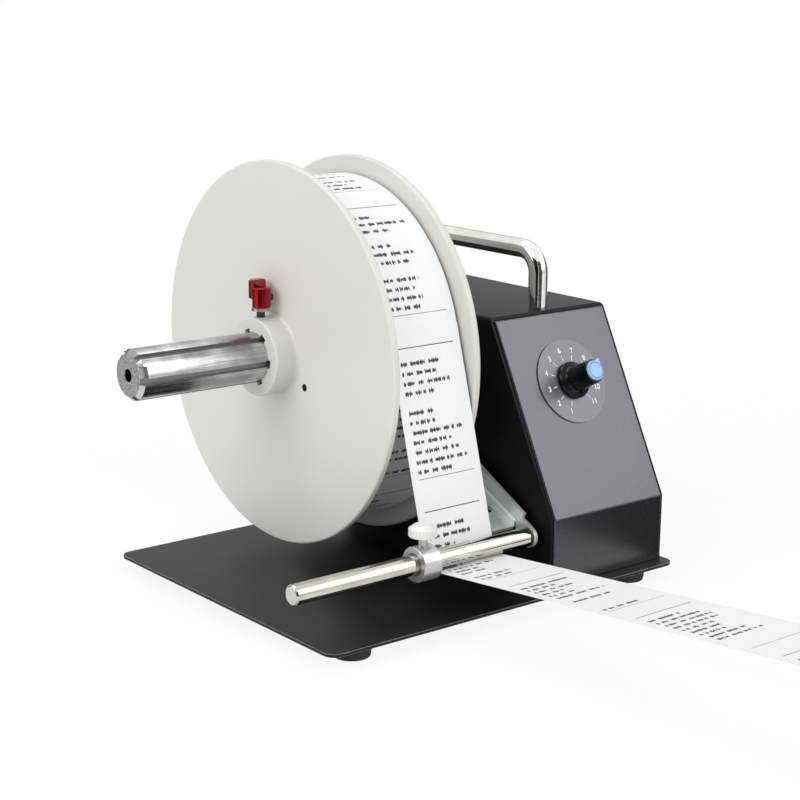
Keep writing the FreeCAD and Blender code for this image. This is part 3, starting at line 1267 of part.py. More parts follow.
def gear_grub():
    foot = SHAFT_RADIUS + PRESS
    grub = rod_z(GRUB_RADIUS, foot, GEAR_HUB_RADIUS, gear_grub_x())
    return grub.cut(rod_z(GRUB_RADIUS / 2.0, GEAR_HUB_RADIUS - 1.5, GEAR_HUB_RADIUS + 1.0,
                          gear_grub_x()))


def motor_pinion():
    outline = gear_outline(PINION_TEETH, math.pi / 2.0 + math.pi / PINION_TEETH)
    outline = [(y, z + MOTOR_Z) for y, z in outline]
    pinion = extrude_x(outline, GEAR_X0, GEAR_X0 + GEAR_WIDTH)
    return pinion.cut(rod_x(MOTOR_SHAFT_RADIUS + PRESS, GEAR_X0 - 1, GEAR_X0 + GEAR_WIDTH + 1, 0,
                            MOTOR_Z))


def motor_shaft():
    return rod_x(MOTOR_SHAFT_RADIUS, GEAR_X0 - 1.0, BRACKET_X1 + 4.0, 0, MOTOR_Z)


def motor_screw_places():
    reach = MOTOR_SCREW_CIRCLE * math.sqrt(0.5)
    return [(y, MOTOR_Z + z) for y in (-reach, reach) for z in (-reach, reach)]


def gear_motor():
    x0 = BRACKET_X1
    gearbox = rod_x(MOTOR_RADIUS, x0, x0 + MOTOR_GEARBOX_LENGTH, 0, MOTOR_Z)
    can_x1 = x0 + MOTOR_GEARBOX_LENGTH + MOTOR_CAN_LENGTH
    can = rod_x(MOTOR_CAN_RADIUS, x0 + MOTOR_GEARBOX_LENGTH - 1.0, can_x1, 0, MOTOR_Z)
    can = can.makeFillet(2.0, edges_where(can, lambda e: abs(e.CenterOfMass.x - can_x1) < 0.01
                                          and e.Length > 10.0))
    pilot = rod_x(MOTOR_PILOT_RADIUS, x0 - BRACKET_SHEET, x0 + 1.0, 0, MOTOR_Z)
    motor = joined([gearbox, can, pilot])
    motor = motor.cut(rod_x(MOTOR_SHAFT_RADIUS + RUNNING, x0 - 5.0, x0 + 4.0 + ALMOST, 0, MOTOR_Z))
    for y, z in motor_screw_places():
        motor = motor.cut(rod_x(M3_RADIUS + PRESS, x0 - 1.0, x0 + 6.0, y, z))
    return motor


def motor_screws():
    seat = BRACKET_X1 - BRACKET_SHEET
    return group([pan_screw(M3_HEAD_RADIUS, M3_HEAD_HEIGHT, M3_RADIUS, 6.0, Vector(seat, y, z), X_AXIS)
                  for y, z in motor_screw_places()])


# Control board, jack and switch

def board_base():
    return BASE_TOP + BOARD_PILLAR_HEIGHT


def board_pillars():
    pillars = []
    for x, y in pillar_places():
        pillar = rod_z(BOARD_PILLAR_RADIUS, BASE_TOP, board_base(), x, y)
        pillars.append(pillar.cut(rod_z(M3_RADIUS + PRESS, BASE_TOP - 1, board_base() + 1, x, y)))
    return group(pillars)


def board_screws():
    top = board_base() + BOARD_THICKNESS
    down = Vector(0, 0, -1)
    return group([pan_screw(M3_HEAD_RADIUS, M3_HEAD_HEIGHT, M3_RADIUS, BOARD_THICKNESS + 2.0,
                            Vector(x, y, top), down) for x, y in pillar_places()])


def on_board(x, y, width, depth, height):
    """A block standing on the board, from its front left corner."""
    z = board_base() + BOARD_THICKNESS
    return box(BOARD_X0 + x, BOARD_X0 + x + width, BOARD_Y0 + y, BOARD_Y0 + y + depth, z, z + height)


def control_board():
    """Board with its terminal strip, capacitors, driver chip and heat sink."""
    z0 = board_base()
    z1 = z0 + BOARD_THICKNESS
    board = box(BOARD_X0, BOARD_X0 + BOARD_WIDTH, BOARD_Y0, BOARD_Y0 + BOARD_DEPTH, z0, z1)
    column = BOARD_WIDTH / 4.0
    row = BOARD_DEPTH / 5.0
    parts = [board, on_board(column, row * 0.2, column * 2.0, TERMINAL_DEPTH, TERMINAL_HEIGHT),
             on_board(column * 2.0, row * 1.6, column, row, CHIP_HEIGHT)]
    for i in range(2):
        parts.append(rod_z(CAPACITOR_RADIUS, z1, z1 + CAPACITOR_HEIGHT, BOARD_X0 + column,
                           BOARD_Y0 + row * (1.9 + 1.1 * i)))
    sink = on_board(column * 1.9, row * 3.1, HEAT_SINK_FINS * HEAT_SINK_PITCH - HEAT_SINK_SLOT, row,
                    HEAT_SINK_HEIGHT)
    for i in range(HEAT_SINK_FINS - 1):
        x = BOARD_X0 + column * 1.9 + (i + 1) * HEAT_SINK_PITCH - HEAT_SINK_SLOT
        sink = sink.cut(box(x, x + HEAT_SINK_SLOT, BOARD_Y0 + row * 3.0, BOARD_Y0 + row * 4.2,
                            z1 + CHIP_HEIGHT, z1 + HEAT_SINK_HEIGHT * 2.0))
    board = joined(parts + [sink])
    for x, y in pillar_places():
        board = board.cut(rod_z(M3_RADIUS + PRESS, z0 - 1, z1 + 1, x, y))
    return board


def jack_z():
    return BASE_TOP + JACK_HEIGHT


def power_jack():
    """Barrel jack: a round nose through the rear panel, its socket open to the back."""
    z = jack_z()
    mouth = HOUSING_Y1 + JACK_RIM_THICKNESS
    behind = HOUSING_Y1 - SHEET - ALMOST
    nose = Part.makeCylinder(JACK_RADIUS, JACK_NOSE_LENGTH, Vector(JACK_X, mouth - JACK_NOSE_LENGTH, z),
                             Y_AXIS)
    rim = Part.makeCylinder(JACK_RADIUS + JACK_RIM_WIDTH, JACK_RIM_THICKNESS,
                            Vector(JACK_X, HOUSING_Y1, z), Y_AXIS)
    half = JACK_RADIUS - ALMOST
    body = box(JACK_X - half, JACK_X + half, behind - JACK_BODY_DEPTH, behind, z - half - 1.0, z + half)
    jack = joined([nose, rim, body])
    return jack.cut(Part.makeCylinder(JACK_SOCKET_RADIUS, JACK_SOCKET_DEPTH + 1.0,
                                      Vector(JACK_X, mouth - JACK_SOCKET_DEPTH, z), Y_AXIS))


def switch_z():
    return BASE_TOP + SWITCH_HEIGHT


def rocker_pivot():
    return HOUSING_Y1 - ROCKER_PIN_BEHIND_PANEL, switch_z()


def switch_body():
    z = switch_z()
    half_w, half_h = SWITCH_BODY_WIDTH / 2.0, SWITCH_BODY_HEIGHT / 2.0
    body = box(SWITCH_X - half_w, SWITCH_X + half_w, HOUSING_Y1 - SWITCH_BODY_DEPTH, HOUSING_Y1 + 0.5,
               z - half_h, z + half_h)
    bezel = box(SWITCH_X - half_w - SWITCH_BEZEL, SWITCH_X + half_w + SWITCH_BEZEL, HOUSING_Y1,
                HOUSING_Y1 + SWITCH_BEZEL, z - half_h - SWITCH_BEZEL, z + half_h + SWITCH_BEZEL)
    bezel = bezel.makeFillet(0.6, edges_where(bezel, lambda e: abs(
        e.CenterOfMass.y - HOUSING_Y1 - SWITCH_BEZEL) < 0.01))
    switch = joined([body, bezel])
    well = box(SWITCH_X - half_w + SWITCH_WALL, SWITCH_X + half_w - SWITCH_WALL,
               HOUSING_Y1 - 11.0, HOUSING_Y1 + SWITCH_BEZEL + 1.0,
               z - half_h + SWITCH_WALL, z + half_h - SWITCH_WALL)
    switch = switch.cut(well)
    body_back = HOUSING_Y1 - SWITCH_BODY_DEPTH
    lugs = [box(SWITCH_X - 3.0, SWITCH_X + 3.0, body_back - SWITCH_LUG_LENGTH, body_back + 1.0,
                z + dz - 0.4, z + dz + 0.4) for dz in (-5.0, 5.0)]
    y, z = rocker_pivot()
    switch = joined([switch] + lugs)
    return switch.cut(rod_x(ROCKER_PIN_RADIUS + RUNNING, SWITCH_X - half_w + 0.4,
                            SWITCH_X + half_w - 0.4, y, z))


def switch_rocker():
    """Two pads that meet in a shallow valley, on a pin through the middle."""
    y, z = rocker_pivot()
    half_w = SWITCH_BODY_WIDTH / 2.0 - SWITCH_WALL - ALMOST
    reach = SWITCH_BODY_HEIGHT / 2.0 - SWITCH_WALL - 1.2
    lean = math.radians(ROCKER_TRAVEL / 2.0)
    outline = []
    for t, d in ((-reach, 6.9), (0.0, 5.2), (reach, 6.9), (reach - 2.0, -1.0), (0.0, -3.0),
                 (-reach + 2.0, -1.0)):
        outline.append((y + d * math.cos(lean) - t * math.sin(lean),
                        z + t * math.cos(lean) + d * math.sin(lean)))
    rocker = extrude_x(outline, SWITCH_X - half_w, SWITCH_X + half_w)
    pin_end = SWITCH_BODY_WIDTH / 2.0 - 0.5
    pin = rod_x(ROCKER_PIN_RADIUS, SWITCH_X - pin_end, SWITCH_X + pin_end, y, z)
    return joined([rocker, pin])


# Export

PIECES = {
    "base_plate": base_plate, "rubber_feet": rubber_feet, "foot_screws": foot_screws,
    "housing_shell": housing_shell, "front_panel": front_panel, "rear_panel": rear_panel,
    "panel_screws": panel_screws, "base_screws": base_screws, "carry_handle": carry_handle,
    "handle_screws": handle_screws, "dial_plate": dial_plate, "potentiometer": potentiometer,
    "pot_nut": pot_nut, "pot_shaft": pot_shaft, "speed_knob": speed_knob, "knob_cap": knob_cap,
    "spindle_mandrel": spindle_mandrel, "drive_shaft": drive_shaft, "shaft_rings": shaft_rings,
    "outer_disc": outer_disc, "inner_disc": inner_disc, "disc_grub": disc_grub,
    "clamp_head": clamp_head, "clamp_stud": clamp_stud, "clamp_washer": clamp_washer,
    "roll_core": roll_core, "label_roll": label_roll, "label_strand": label_strand,
    "label_tail": label_tail, "tension_arm": tension_arm, "guide_rod": guide_rod,
    "rod_spacer": rod_spacer,
    "arm_pivot_shaft": arm_pivot_shaft, "arm_pivot_bush": arm_pivot_bush,
    "sensor_flag": sensor_flag, "arm_sensor": arm_sensor, "arm_stop_pin": arm_stop_pin,
    "stop_collar": stop_collar, "collar_screw_stud": collar_screw_stud,
    "collar_screw_head": collar_screw_head, "drive_bracket": drive_bracket,
    "shaft_bearings": shaft_bearings, "driven_gear": driven_gear, "gear_grub": gear_grub,
    "motor_pinion": motor_pinion,
    "motor_shaft": motor_shaft, "gear_motor": gear_motor, "motor_screws": motor_screws,
    "board_pillars": board_pillars, "board_screws": board_screws, "control_board": control_board,
    "power_jack": power_jack, "switch_body": switch_body, "switch_rocker": switch_rocker,
}


def to_frame(shape):
    shape = shape.copy()
    shape.translate(FRAME_SHIFT)
    return shape


def main():
    os.makedirs("parts", exist_ok=True)
    for name, make in PIECES.items():
        shape = to_frame(make())
        solids = len(shape.Solids)
        state = "ok" if shape.isValid() and solids else "CHECK"
        print(f"{name:20s} {solids:3d} solids {shape.Volume:12.1f} mm3 {state}")
        shape.exportStep("parts/" + name + ".step")


main()
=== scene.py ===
# %% [markdown]
# # A bench-top label rewinder
#
# The machine winds a strip of labels onto a powered spindle. Its structure arrives as a finished
# frame: every sheet, disc, screw and gear is already there at its real size. These cells add what
# the eye needs: the wound paper, the printed strip, the dial's printing, the screws' recesses and
# a finish for each surface. Lengths are in metres, +Z is up and the spindle points along -X.

import math
import random

import bmesh
import bpy
from mathutils import Matrix, Vector


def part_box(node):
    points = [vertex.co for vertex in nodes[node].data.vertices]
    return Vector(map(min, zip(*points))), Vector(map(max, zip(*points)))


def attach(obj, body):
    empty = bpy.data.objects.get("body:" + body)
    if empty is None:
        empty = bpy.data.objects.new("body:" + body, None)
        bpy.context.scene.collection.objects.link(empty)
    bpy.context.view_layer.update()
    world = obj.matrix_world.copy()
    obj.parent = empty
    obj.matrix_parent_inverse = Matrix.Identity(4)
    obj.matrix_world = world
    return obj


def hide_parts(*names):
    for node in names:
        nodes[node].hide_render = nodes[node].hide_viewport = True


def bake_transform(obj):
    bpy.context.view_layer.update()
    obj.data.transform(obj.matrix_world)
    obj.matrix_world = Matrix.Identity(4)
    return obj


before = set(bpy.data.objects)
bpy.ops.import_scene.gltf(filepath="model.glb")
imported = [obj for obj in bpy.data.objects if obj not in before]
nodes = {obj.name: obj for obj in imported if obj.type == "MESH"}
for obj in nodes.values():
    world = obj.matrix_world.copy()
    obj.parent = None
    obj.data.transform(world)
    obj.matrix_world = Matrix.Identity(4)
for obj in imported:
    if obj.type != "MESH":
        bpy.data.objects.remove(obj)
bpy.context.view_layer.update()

# %% Small helpers for objects
MM = 0.001
random.seed(7)


def only(obj):
    """Deselect everything, then select this object and make it active."""
    bpy.ops.object.select_all(action="DESELECT")
    obj.select_set(True)
    bpy.context.view_layer.objects.active = obj


def made(name):
    """Name the primitive that an operator has just added and settle its place in its mesh."""
    obj = bpy.context.active_object
    obj.name = name
    obj.data.name = name
    only(obj)
    bpy.ops.object.transform_apply(location=True, rotation=True, scale=True)
    return obj


def pick(obj, kind, test):
    """In edit mode, select only the faces, edges or vertices that pass the test."""
    bpy.ops.mesh.select_mode(type=kind)
    bpy.ops.mesh.select_all(action="DESELECT")
    mesh = bmesh.from_edit_mesh(obj.data)
    found = {"FACE": mesh.faces, "EDGE": mesh.edges, "VERT": mesh.verts}[kind]
    for element in found:
        if test(element):
            element.select_set(True)
    mesh.select_flush_mode()
    bmesh.update_edit_mesh(obj.data)


def edit(obj):
    """Enter edit mode on one object."""
    only(obj)
    bpy.ops.object.mode_set(mode="EDIT")


def leave():
    """Return to object mode."""
    bpy.ops.object.mode_set(mode="OBJECT")


def apply_all(obj):
    """Apply every modifier on the object, in order."""
    only(obj)
    for modifier in list(obj.modifiers):
        bpy.ops.object.modifier_apply(modifier=modifier.name)


def smooth(obj, degrees=35.0):
    """Shade smoothly, but keep edges sharper than this angle."""
    only(obj)
    bpy.ops.object.shade_smooth_by_angle(angle=math.radians(degrees))


def joined(pieces, name, material):
    """Join separate pieces into one object of one material."""
    bpy.ops.object.select_all(action="DESELECT")
    for piece in pieces:
        piece.select_set(True)
    bpy.context.view_layer.objects.active = pieces[0]
    bpy.ops.object.join()
    obj = made(name)
    obj.data.materials.clear()
    obj.data.materials.append(material)
    return obj


# %% [markdown]
# ## Colours and nodes
#
# Colours are written as the hex values that a screen shows. Cycles works with linear light, so one
# function turns them. A second function adds a node with its settings, values and links: with it,
# a material reads as a short list of what feeds what. A link may name a node instead of a socket,
# and then starts at the node's first output.

# %% Helpers for materials

def linear(code):
    """Turn an sRGB hex value such as "#8a8a8c" to linear RGBA."""
    parts = [int(code[i:i + 2], 16) / 255.0 for i in (1, 3, 5)]
    parts = [p / 12.92 if p <= 0.04045 else ((p + 0.055) / 1.055) ** 2.4 for p in parts]
    return (*parts, 1.0)


def wire(node, sockets):
    """Link sockets of a node to what feeds them: a socket, or a node's first output."""
    for socket, source in sockets.items():
        if isinstance(source, bpy.types.Node):
            source = source.outputs[0]
        node.id_data.links.new(source, node.inputs[socket])


def add(tree, kind, values=None, links=None, **settings):
    """Add a node: settings are its own, values fill sockets, links connect them."""
    node = tree.nodes.new("ShaderNode" + kind)
    for name, value in settings.items():
        setattr(node, name, value)
    for socket, value in (values or {}).items():
        node.inputs[socket].default_value = value
    wire(node, links or {})
    return node


def finish(name, roughness, metallic=0.0, **sockets):
    """A new material with its shader and the object's own coordinates in metres."""
    material = bpy.data.materials.new(name)
    material.use_nodes = True
    tree = material.node_tree
    shader = tree.nodes["Principled BSDF"]
    shader.inputs["Roughness"].default_value = roughness
    shader.inputs["Metallic"].default_value = metallic
    for socket, value in sockets.items():
        shader.inputs[socket.replace("_", " ")].default_value = value
    place = add(tree, "TexCoord").outputs["Object"]
    return material, tree, shader, place


def dress(material, *names):
    """Give CAD nodes their finish."""
    for name in names:
        for slot in nodes[name].material_slots:
            slot.material = material


# %% [markdown]
# ## The camera
#
# The camera stands where the photograph was taken from: a long lens about a metre away, in front
# of the spindle's free end and a little above the machine. Its three axes are worked out from the
# two angles and a small roll.

# %% Camera
CAMERA_PLACE = Vector((-570.32, -641.65, 312.07)) * MM
CAMERA_AZIMUTH = math.radians(-39.10)
CAMERA_ELEVATION = math.radians(13.38)
CAMERA_ROLL = math.radians(0.62)
SENSOR_WIDTH = 36.0
PICTURE_PIXELS = 800.0
FOCAL_PIXELS = 1834.89
LENS = SENSOR_WIDTH * FOCAL_PIXELS / PICTURE_PIXELS

back = Vector((math.sin(CAMERA_AZIMUTH) * math.cos(CAMERA_ELEVATION),
               -math.cos(CAMERA_AZIMUTH) * math.cos(CAMERA_ELEVATION),
               math.sin(CAMERA_ELEVATION)))
right = (-back).cross(Vector((0, 0, 1))).normalized()
up = right.cross(-back)
right, up = (right * math.cos(CAMERA_ROLL) + up * math.sin(CAMERA_ROLL),
             up * math.cos(CAMERA_ROLL) - right * math.sin(CAMERA_ROLL))
camera_data = bpy.data.cameras.new("camera")
camera_data.lens = LENS
camera_data.sensor_width = SENSOR_WIDTH
camera_data.clip_end = 100.0
camera = bpy.data.objects.new("camera", camera_data)
bpy.context.scene.collection.objects.link(camera)
turn = Matrix((right, up, back)).transposed().to_4x4()
camera.matrix_world = Matrix.Translation(CAMERA_PLACE) @ turn
bpy.context.scene.camera = camera
print("lens: %.2f mm" % LENS)

# %% [markdown]
# ## Floor and light
#
# The photograph is a cut-out on white. The floor answers camera rays with a nearly white glow and
# only a share of its shaded colour, so that it reads as white and still keeps the shadow. Soft area
# lamps light the machine from the upper left, the front and above. A fourth stands at the right
# front only to be mirrored in the sloped panel. Cards that only reflections see stand round the
# machine and lie before it: polished metal has no look of its own, and they give it the dark bands
# of a real room.

# %% Floor and world
FLOOR_SIZE = 60.0
SHADOW_REACH = (0.30, 1.10)
bpy.context.scene.view_settings.view_transform = "Standard"
bpy.ops.object.select_all(action="DESELECT")
bpy.ops.mesh.primitive_plane_add(size=FLOOR_SIZE)
floor = made("floor")
floor_paint, tree, shader, place = finish("studio_floor_paint", 0.9, Specular_IOR_Level=0.1)
shader.inputs["Base Color"].default_value = linear("#fafafa")
light_path = add(tree, "LightPath")
glow = add(tree, "Emission", {"Color": (1, 1, 1, 1), "Strength": 1.0})
mirrored = add(tree, "Math", {1: 0.45}, {0: light_path.outputs["Is Glossy Ray"]},
               operation="MULTIPLY")
reach = add(tree, "VectorMath", links={0: place}, operation="LENGTH")
white_out = add(tree, "MapRange", {"From Min": SHADOW_REACH[0], "From Max": SHADOW_REACH[1],
                                   "To Min": 0.90}, {"Value": reach.outputs["Value"]})
seen = add(tree, "Math", links={0: light_path.outputs["Is Camera Ray"], 1: white_out},
           operation="MULTIPLY")
seen = add(tree, "Math", links={0: seen, 1: mirrored}, operation="MAXIMUM")
blend = add(tree, "MixShader", links={0: seen, 1: shader, 2: glow})
wire(tree.nodes["Material Output"], {"Surface": blend})
floor.data.materials.append(floor_paint)

world = bpy.data.worlds.new("studio")
bpy.context.scene.world = world
world.use_nodes = True
tree = world.node_tree
light_path = add(tree, "LightPath")
direct = add(tree, "Math", links={0: light_path.outputs["Is Camera Ray"],
                                  1: light_path.outputs["Is Glossy Ray"]}, operation="MAXIMUM")
direct = add(tree, "Math", links={0: direct,
                                  1: light_path.outputs["Is Transmission Ray"]}, operation="MAXIMUM")
strength = add(tree, "MapRange", {"To Min": 0.42, "To Max": 1.0}, {"Value": direct})
wire(tree.nodes["Background"], {"Strength": strength})
tree.nodes["Background"].inputs["Color"].default_value = (1, 1, 1, 1)


# %% Lamps and cards

def lamp(name, place, target, width, height, watts):
    """A soft area lamp at a place, turned to a target."""
    data = bpy.data.lights.new(name, "AREA")
    data.shape = "RECTANGLE"
    data.size = width
    data.size_y = height
    data.energy = watts
    obj = bpy.data.objects.new(name, data)
    bpy.context.scene.collection.objects.link(obj)
    aim = (Vector(target) - Vector(place)).to_track_quat("-Z", "Y")
    obj.matrix_world = Matrix.Translation(place) @ aim.to_matrix().to_4x4()
    return obj


def board(name, colour, place, target, width, height):
    """A flat card that only reflections see, at a place and turned to a target."""
    bpy.ops.object.select_all(action="DESELECT")
    bpy.ops.mesh.primitive_plane_add(size=1.0)
    obj = made(name)
    aim = (Vector(target) - Vector(place)).to_track_quat("Z", "Y")
    obj.data.transform(Matrix.Translation(place) @ aim.to_matrix().to_4x4()
                       @ Matrix.Diagonal((width, height, 1, 1)))
    paint, tree, shader = finish("studio_" + name, 0.9, Specular_IOR_Level=0.1)[:3]
    shader.inputs["Base Color"].default_value = linear(colour)
    obj.data.materials.append(paint)
    obj.visible_camera = False
    obj.visible_shadow = False
    obj.visible_diffuse = False


def card(name, colour, bearing, away, width, height):
    """A standing card, this many degrees to the right of the camera's bearing."""
    angle = math.radians(bearing)
    way = back.xy.normalized() * math.cos(angle) + right.xy.normalized() * math.sin(angle)
    place = Vector((way.x * away, way.y * away, height / 2.0))
    board(name, colour, place, (0.0, 0.0, height / 2.0), width, height)


lamp("key_softbox", (-1.95, 0.10, 1.15), (0, 0, 0.1), 1.5, 1.5, 24.0)
lamp("front_softbox", (0.15, -2.10, 0.95), (0, 0, 0.1), 1.4, 1.0, 20.0)
lamp("top_softbox", (0.1, 0.4, 1.4), (0, 0.1, 0.1), 1.0, 0.8, 7.0)
panel_light = lamp("panel_softbox", (0.78, -0.80, 0.74), (0.08, -0.02, 0.12), 0.9, 0.8, 6.0)
panel_light.visible_diffuse = False
card("black_card_front", "#0c0c0c", -26.0, 0.55, 0.60, 0.60)
card("grey_card_front", "#505050", 30.0, 0.58, 0.50, 0.60)
card("grey_card_left", "#7a7468", -116.0, 0.60, 0.46, 0.34)
card("grey_card_right", "#5c5c5c", 128.0, 0.60, 0.40, 0.34)
board("dark_card_floor", "#101010", (0.37, -0.27, 0.003), (0.37, -0.27, 1.0), 0.48, 0.50)
board("grey_card_behind", "#a0a0a0", (0.57, 0.70, 0.44), (0.0, 0.0, 0.44), 1.0, 0.20)
board("dark_card_behind", "#141414", (0.66, 0.76, 0.003), (0.66, 0.76, 1.0), 0.80, 0.70)

# %% [markdown]
# ## Powder-coated sheet
#
# The base and the housing are folded steel with a baked powder coat. Powder melts into a film with
# a fine orange-peel surface, which spreads reflections without making them dull. Base and shell
# are matt; the front panel is a satin coat that catches the light. The grain is about a third of a
# millimetre, as drawn on the panel. On the matt coats it is drawn at 0.7 mm so that it shows. Two
# lighter edge materials paint a highlight along sharp edges, for the thin bright line of a rounded
# edge.

# %% Powder coats

def powder_coat(name, dark, light, roughness, specular, grain=0.7 * MM, peel_by=0.05,
                sheen="#ffffff"):
    material, tree, shader, place = finish(name, roughness, IOR=1.5, Specular_IOR_Level=specular,
                                           Specular_Tint=linear(sheen))
    clouds = add(tree, "TexNoise", {"Scale": 14.0, "Detail": 4.0, "Roughness": 0.6},
                 {"Vector": place})
    peel = add(tree, "TexNoise", {"Scale": 1.0 / grain, "Detail": 2.0}, {"Vector": place})
    mix = add(tree, "Mix", {6: linear(dark), 7: linear(light)}, {0: clouds},
              data_type="RGBA")
    speck = add(tree, "MapRange", {"From Min": 0.3, "From Max": 0.7, "To Min": roughness - 0.03,
                                   "To Max": roughness + 0.03}, {"Value": peel})
    bump = add(tree, "Bump", {"Strength": peel_by, "Distance": 0.05 * MM},
               {"Height": peel})
    wire(shader, {"Base Color": mix.outputs[2], "Roughness": speck, "Normal": bump})
    return material


def edge_highlight_coat(name, metallic, dark, light):
    """A lighter coat for edges: a painted highlight along them."""
    material, tree, shader, place = finish(name, 0.35, metallic)
    rub = add(tree, "TexNoise", {"Scale": 160.0, "Detail": 4.0}, {"Vector": place})
    edge_highlight_tone = add(tree, "Mix", {6: linear(dark), 7: linear(light)}, {0: rub}, data_type="RGBA")
    wire(shader, {"Base Color": edge_highlight_tone.outputs[2]})
    return material


shell_coat = powder_coat("powder_coat_matt_black", "#09090a", "#0f0f10", 0.42, 0.12)
base_coat = powder_coat("powder_coat_fine_black", "#111112", "#1a1a1c", 0.42, 0.24)
panel_coat = powder_coat("powder_coat_satin_graphite", "#17161a", "#201f23", 0.27, 1.0,
                         grain=0.35 * MM, peel_by=0.03, sheen="#f4eefc")
# Painted highlight: these edge materials are much lighter than the black coats, so the bevels read
# as bright lines.
painted_edge_highlight = edge_highlight_coat("powder_coat_painted_edge_highlight", 0.3, "#a8a8ac", "#f4f4f6")
painted_soft_edge_highlight = edge_highlight_coat("powder_coat_painted_soft_highlight", 0.2, "#2c2c2e", "#6a6a6e")
dress(shell_coat, "housing_shell", "rear_panel")
dress(base_coat, "base_plate")
dress(panel_coat, "front_panel")

# %% [markdown]
# ## Moulded white discs
#
# The two discs are injection-moulded ABS in a warm white. The mould's polish leaves a soft sheen,
# with a slow change of tone where the plastic cooled. A faint bump two millimetres apart keeps the
# big flat face from looking computed. The three small holes get painted shade: the material paints
# a dark grey on whatever lies within a hole's radius of its axis, as the shade inside a hole.

# %% Disc plastic
disc_plastic, tree, shader, place = finish("abs_moulded_warm_white", 0.42, IOR=1.53,
                                           Specular_IOR_Level=0.42)
drift = add(tree, "TexNoise", {"Scale": 9.0, "Detail": 3.0}, {"Vector": place})
tone = add(tree, "Mix", {6: linear("#d2cfc9"), 7: linear("#dcdad5")}, {0: drift},
           data_type="RGBA")
orange = add(tree, "TexNoise", {"Scale": 450.0, "Detail": 2.0}, {"Vector": place})
bump = add(tree, "Bump", {"Strength": 0.06, "Distance": 0.1 * MM}, {"Height": orange})
apart = add(tree, "SeparateXYZ", links={"Vector": place})
flat = add(tree, "CombineXYZ", links={1: apart.outputs["Y"], 2: apart.outputs["Z"]})
disc_low, disc_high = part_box("outer_disc")
HOLE_CIRCLE = 29.9 * MM
HOLE_RADIUS = 2.0 * MM
FIRST_HOLE_ANGLE = 115.8
HOLE_COUNT = 3
near_hole = None
for i in range(HOLE_COUNT):
    lean = math.radians(FIRST_HOLE_ANGLE + i * 360.0 / HOLE_COUNT)
    hole = Vector((0.0, (disc_low.y + disc_high.y) / 2.0 - HOLE_CIRCLE * math.sin(lean),
                   (disc_low.z + disc_high.z) / 2.0 + HOLE_CIRCLE * math.cos(lean)))
    gap = add(tree, "VectorMath", {1: hole}, {0: flat}, operation="DISTANCE")
    within = add(tree, "Math", {1: HOLE_RADIUS}, {0: gap.outputs["Value"]}, operation="LESS_THAN")
    near_hole = within if near_hole is None else add(
        tree, "Math", links={0: near_hole, 1: within}, operation="MAXIMUM")
# Painted shade: within each hole's radius the colour turns dark grey, standing in for the shade
# inside the hole.
painted_hole_shade = add(tree, "Mix", {7: linear("#4a4742")}, {0: near_hole, 6: tone.outputs[2]},
              data_type="RGBA")
wire(shader, {"Base Color": painted_hole_shade.outputs[2], "Normal": bump})
dress(disc_plastic, "outer_disc", "inner_disc")

# %% [markdown]
# ## Metals
#
# A metal has no colour of its own under its shine: what tells one from another is how it was cut.
# Drawn bar has streaks along it and a polished bar is almost a mirror. One function draws streaks
# by stretching noise along X, where the spindle and the rod point, and the finishes differ in tone,
# spacing and roughness.

# %% Streaked metals
STREAK_LENGTH = 90.0


def streaked(name, dark, light, rough_low, rough_high, spacing, bump_by=0.2, metallic=1.0):
    """Metal with fine lines along X, this far apart and STREAK_LENGTH times as long."""
    material, tree, shader, place = finish(name, rough_low, metallic)
    across = 1.0 / spacing
    stretch = add(tree, "Mapping", {"Scale": (across / STREAK_LENGTH, across, across)},
                  {"Vector": place})
    lines = add(tree, "TexNoise", {"Scale": 1.0, "Detail": 5.0, "Roughness": 0.65},
                {"Vector": stretch})
    stain = add(tree, "TexNoise", {"Scale": 60.0, "Detail": 3.0}, {"Vector": place})
    both = add(tree, "Math", links={0: lines, 1: stain},
               operation="MULTIPLY")
    tone = add(tree, "MapRange", {"From Min": 0.12, "From Max": 0.40}, {"Value": both})
    mix = add(tree, "Mix", {6: linear(dark), 7: linear(light)}, {0: tone},
              data_type="RGBA")
    rough = add(tree, "MapRange", {"From Min": 0.3, "From Max": 0.7, "To Min": rough_low,
                                   "To Max": rough_high}, {"Value": lines})
    bump = add(tree, "Bump", {"Strength": bump_by, "Distance": 0.02 * MM},
               {"Height": lines})
    wire(shader, {"Base Color": mix.outputs[2], "Roughness": rough, "Normal": bump})
    return material


polished_steel = streaked("stainless_steel_polished", "#c2beb4", "#ded9cf", 0.06, 0.12, 0.25 * MM)
chromed_bar = streaked("steel_chromed_bar", "#d6d3cb", "#fbfaf7", 0.05, 0.11, 0.25 * MM)
turned_steel = streaked("steel_turned", "#9a9a9a", "#c6c6c6", 0.20, 0.34, 0.15 * MM)
satin_aluminium = streaked("aluminium_satin_turned", "#b4b4b2", "#d2d2d0", 0.16, 0.28, 0.2 * MM,
                           metallic=0.7)
plated_steel = streaked("steel_nickel_plated", "#8c8c8c", "#bdbdbd", 0.22, 0.36, 0.3 * MM)
motor_can = streaked("steel_drawn_can", "#8e8e90", "#b0b0b2", 0.26, 0.40, 0.2 * MM)
blackened = streaked("steel_blackened", "#3c3a38", "#5a5754", 0.28, 0.42, 0.3 * MM)
dress(polished_steel, "guide_rod")
dress(turned_steel, "drive_shaft", "arm_pivot_shaft", "motor_shaft", "pot_shaft", "pot_nut",
      "shaft_bearings", "clamp_washer", "collar_screw_stud")
dress(satin_aluminium, "stop_collar")
dress(plated_steel, "handle_screws", "motor_screws", "board_screws")
dress(motor_can, "gear_motor", "potentiometer")
dress(blackened, "clamp_stud", "shaft_rings", "disc_grub", "gear_grub", "rod_spacer")
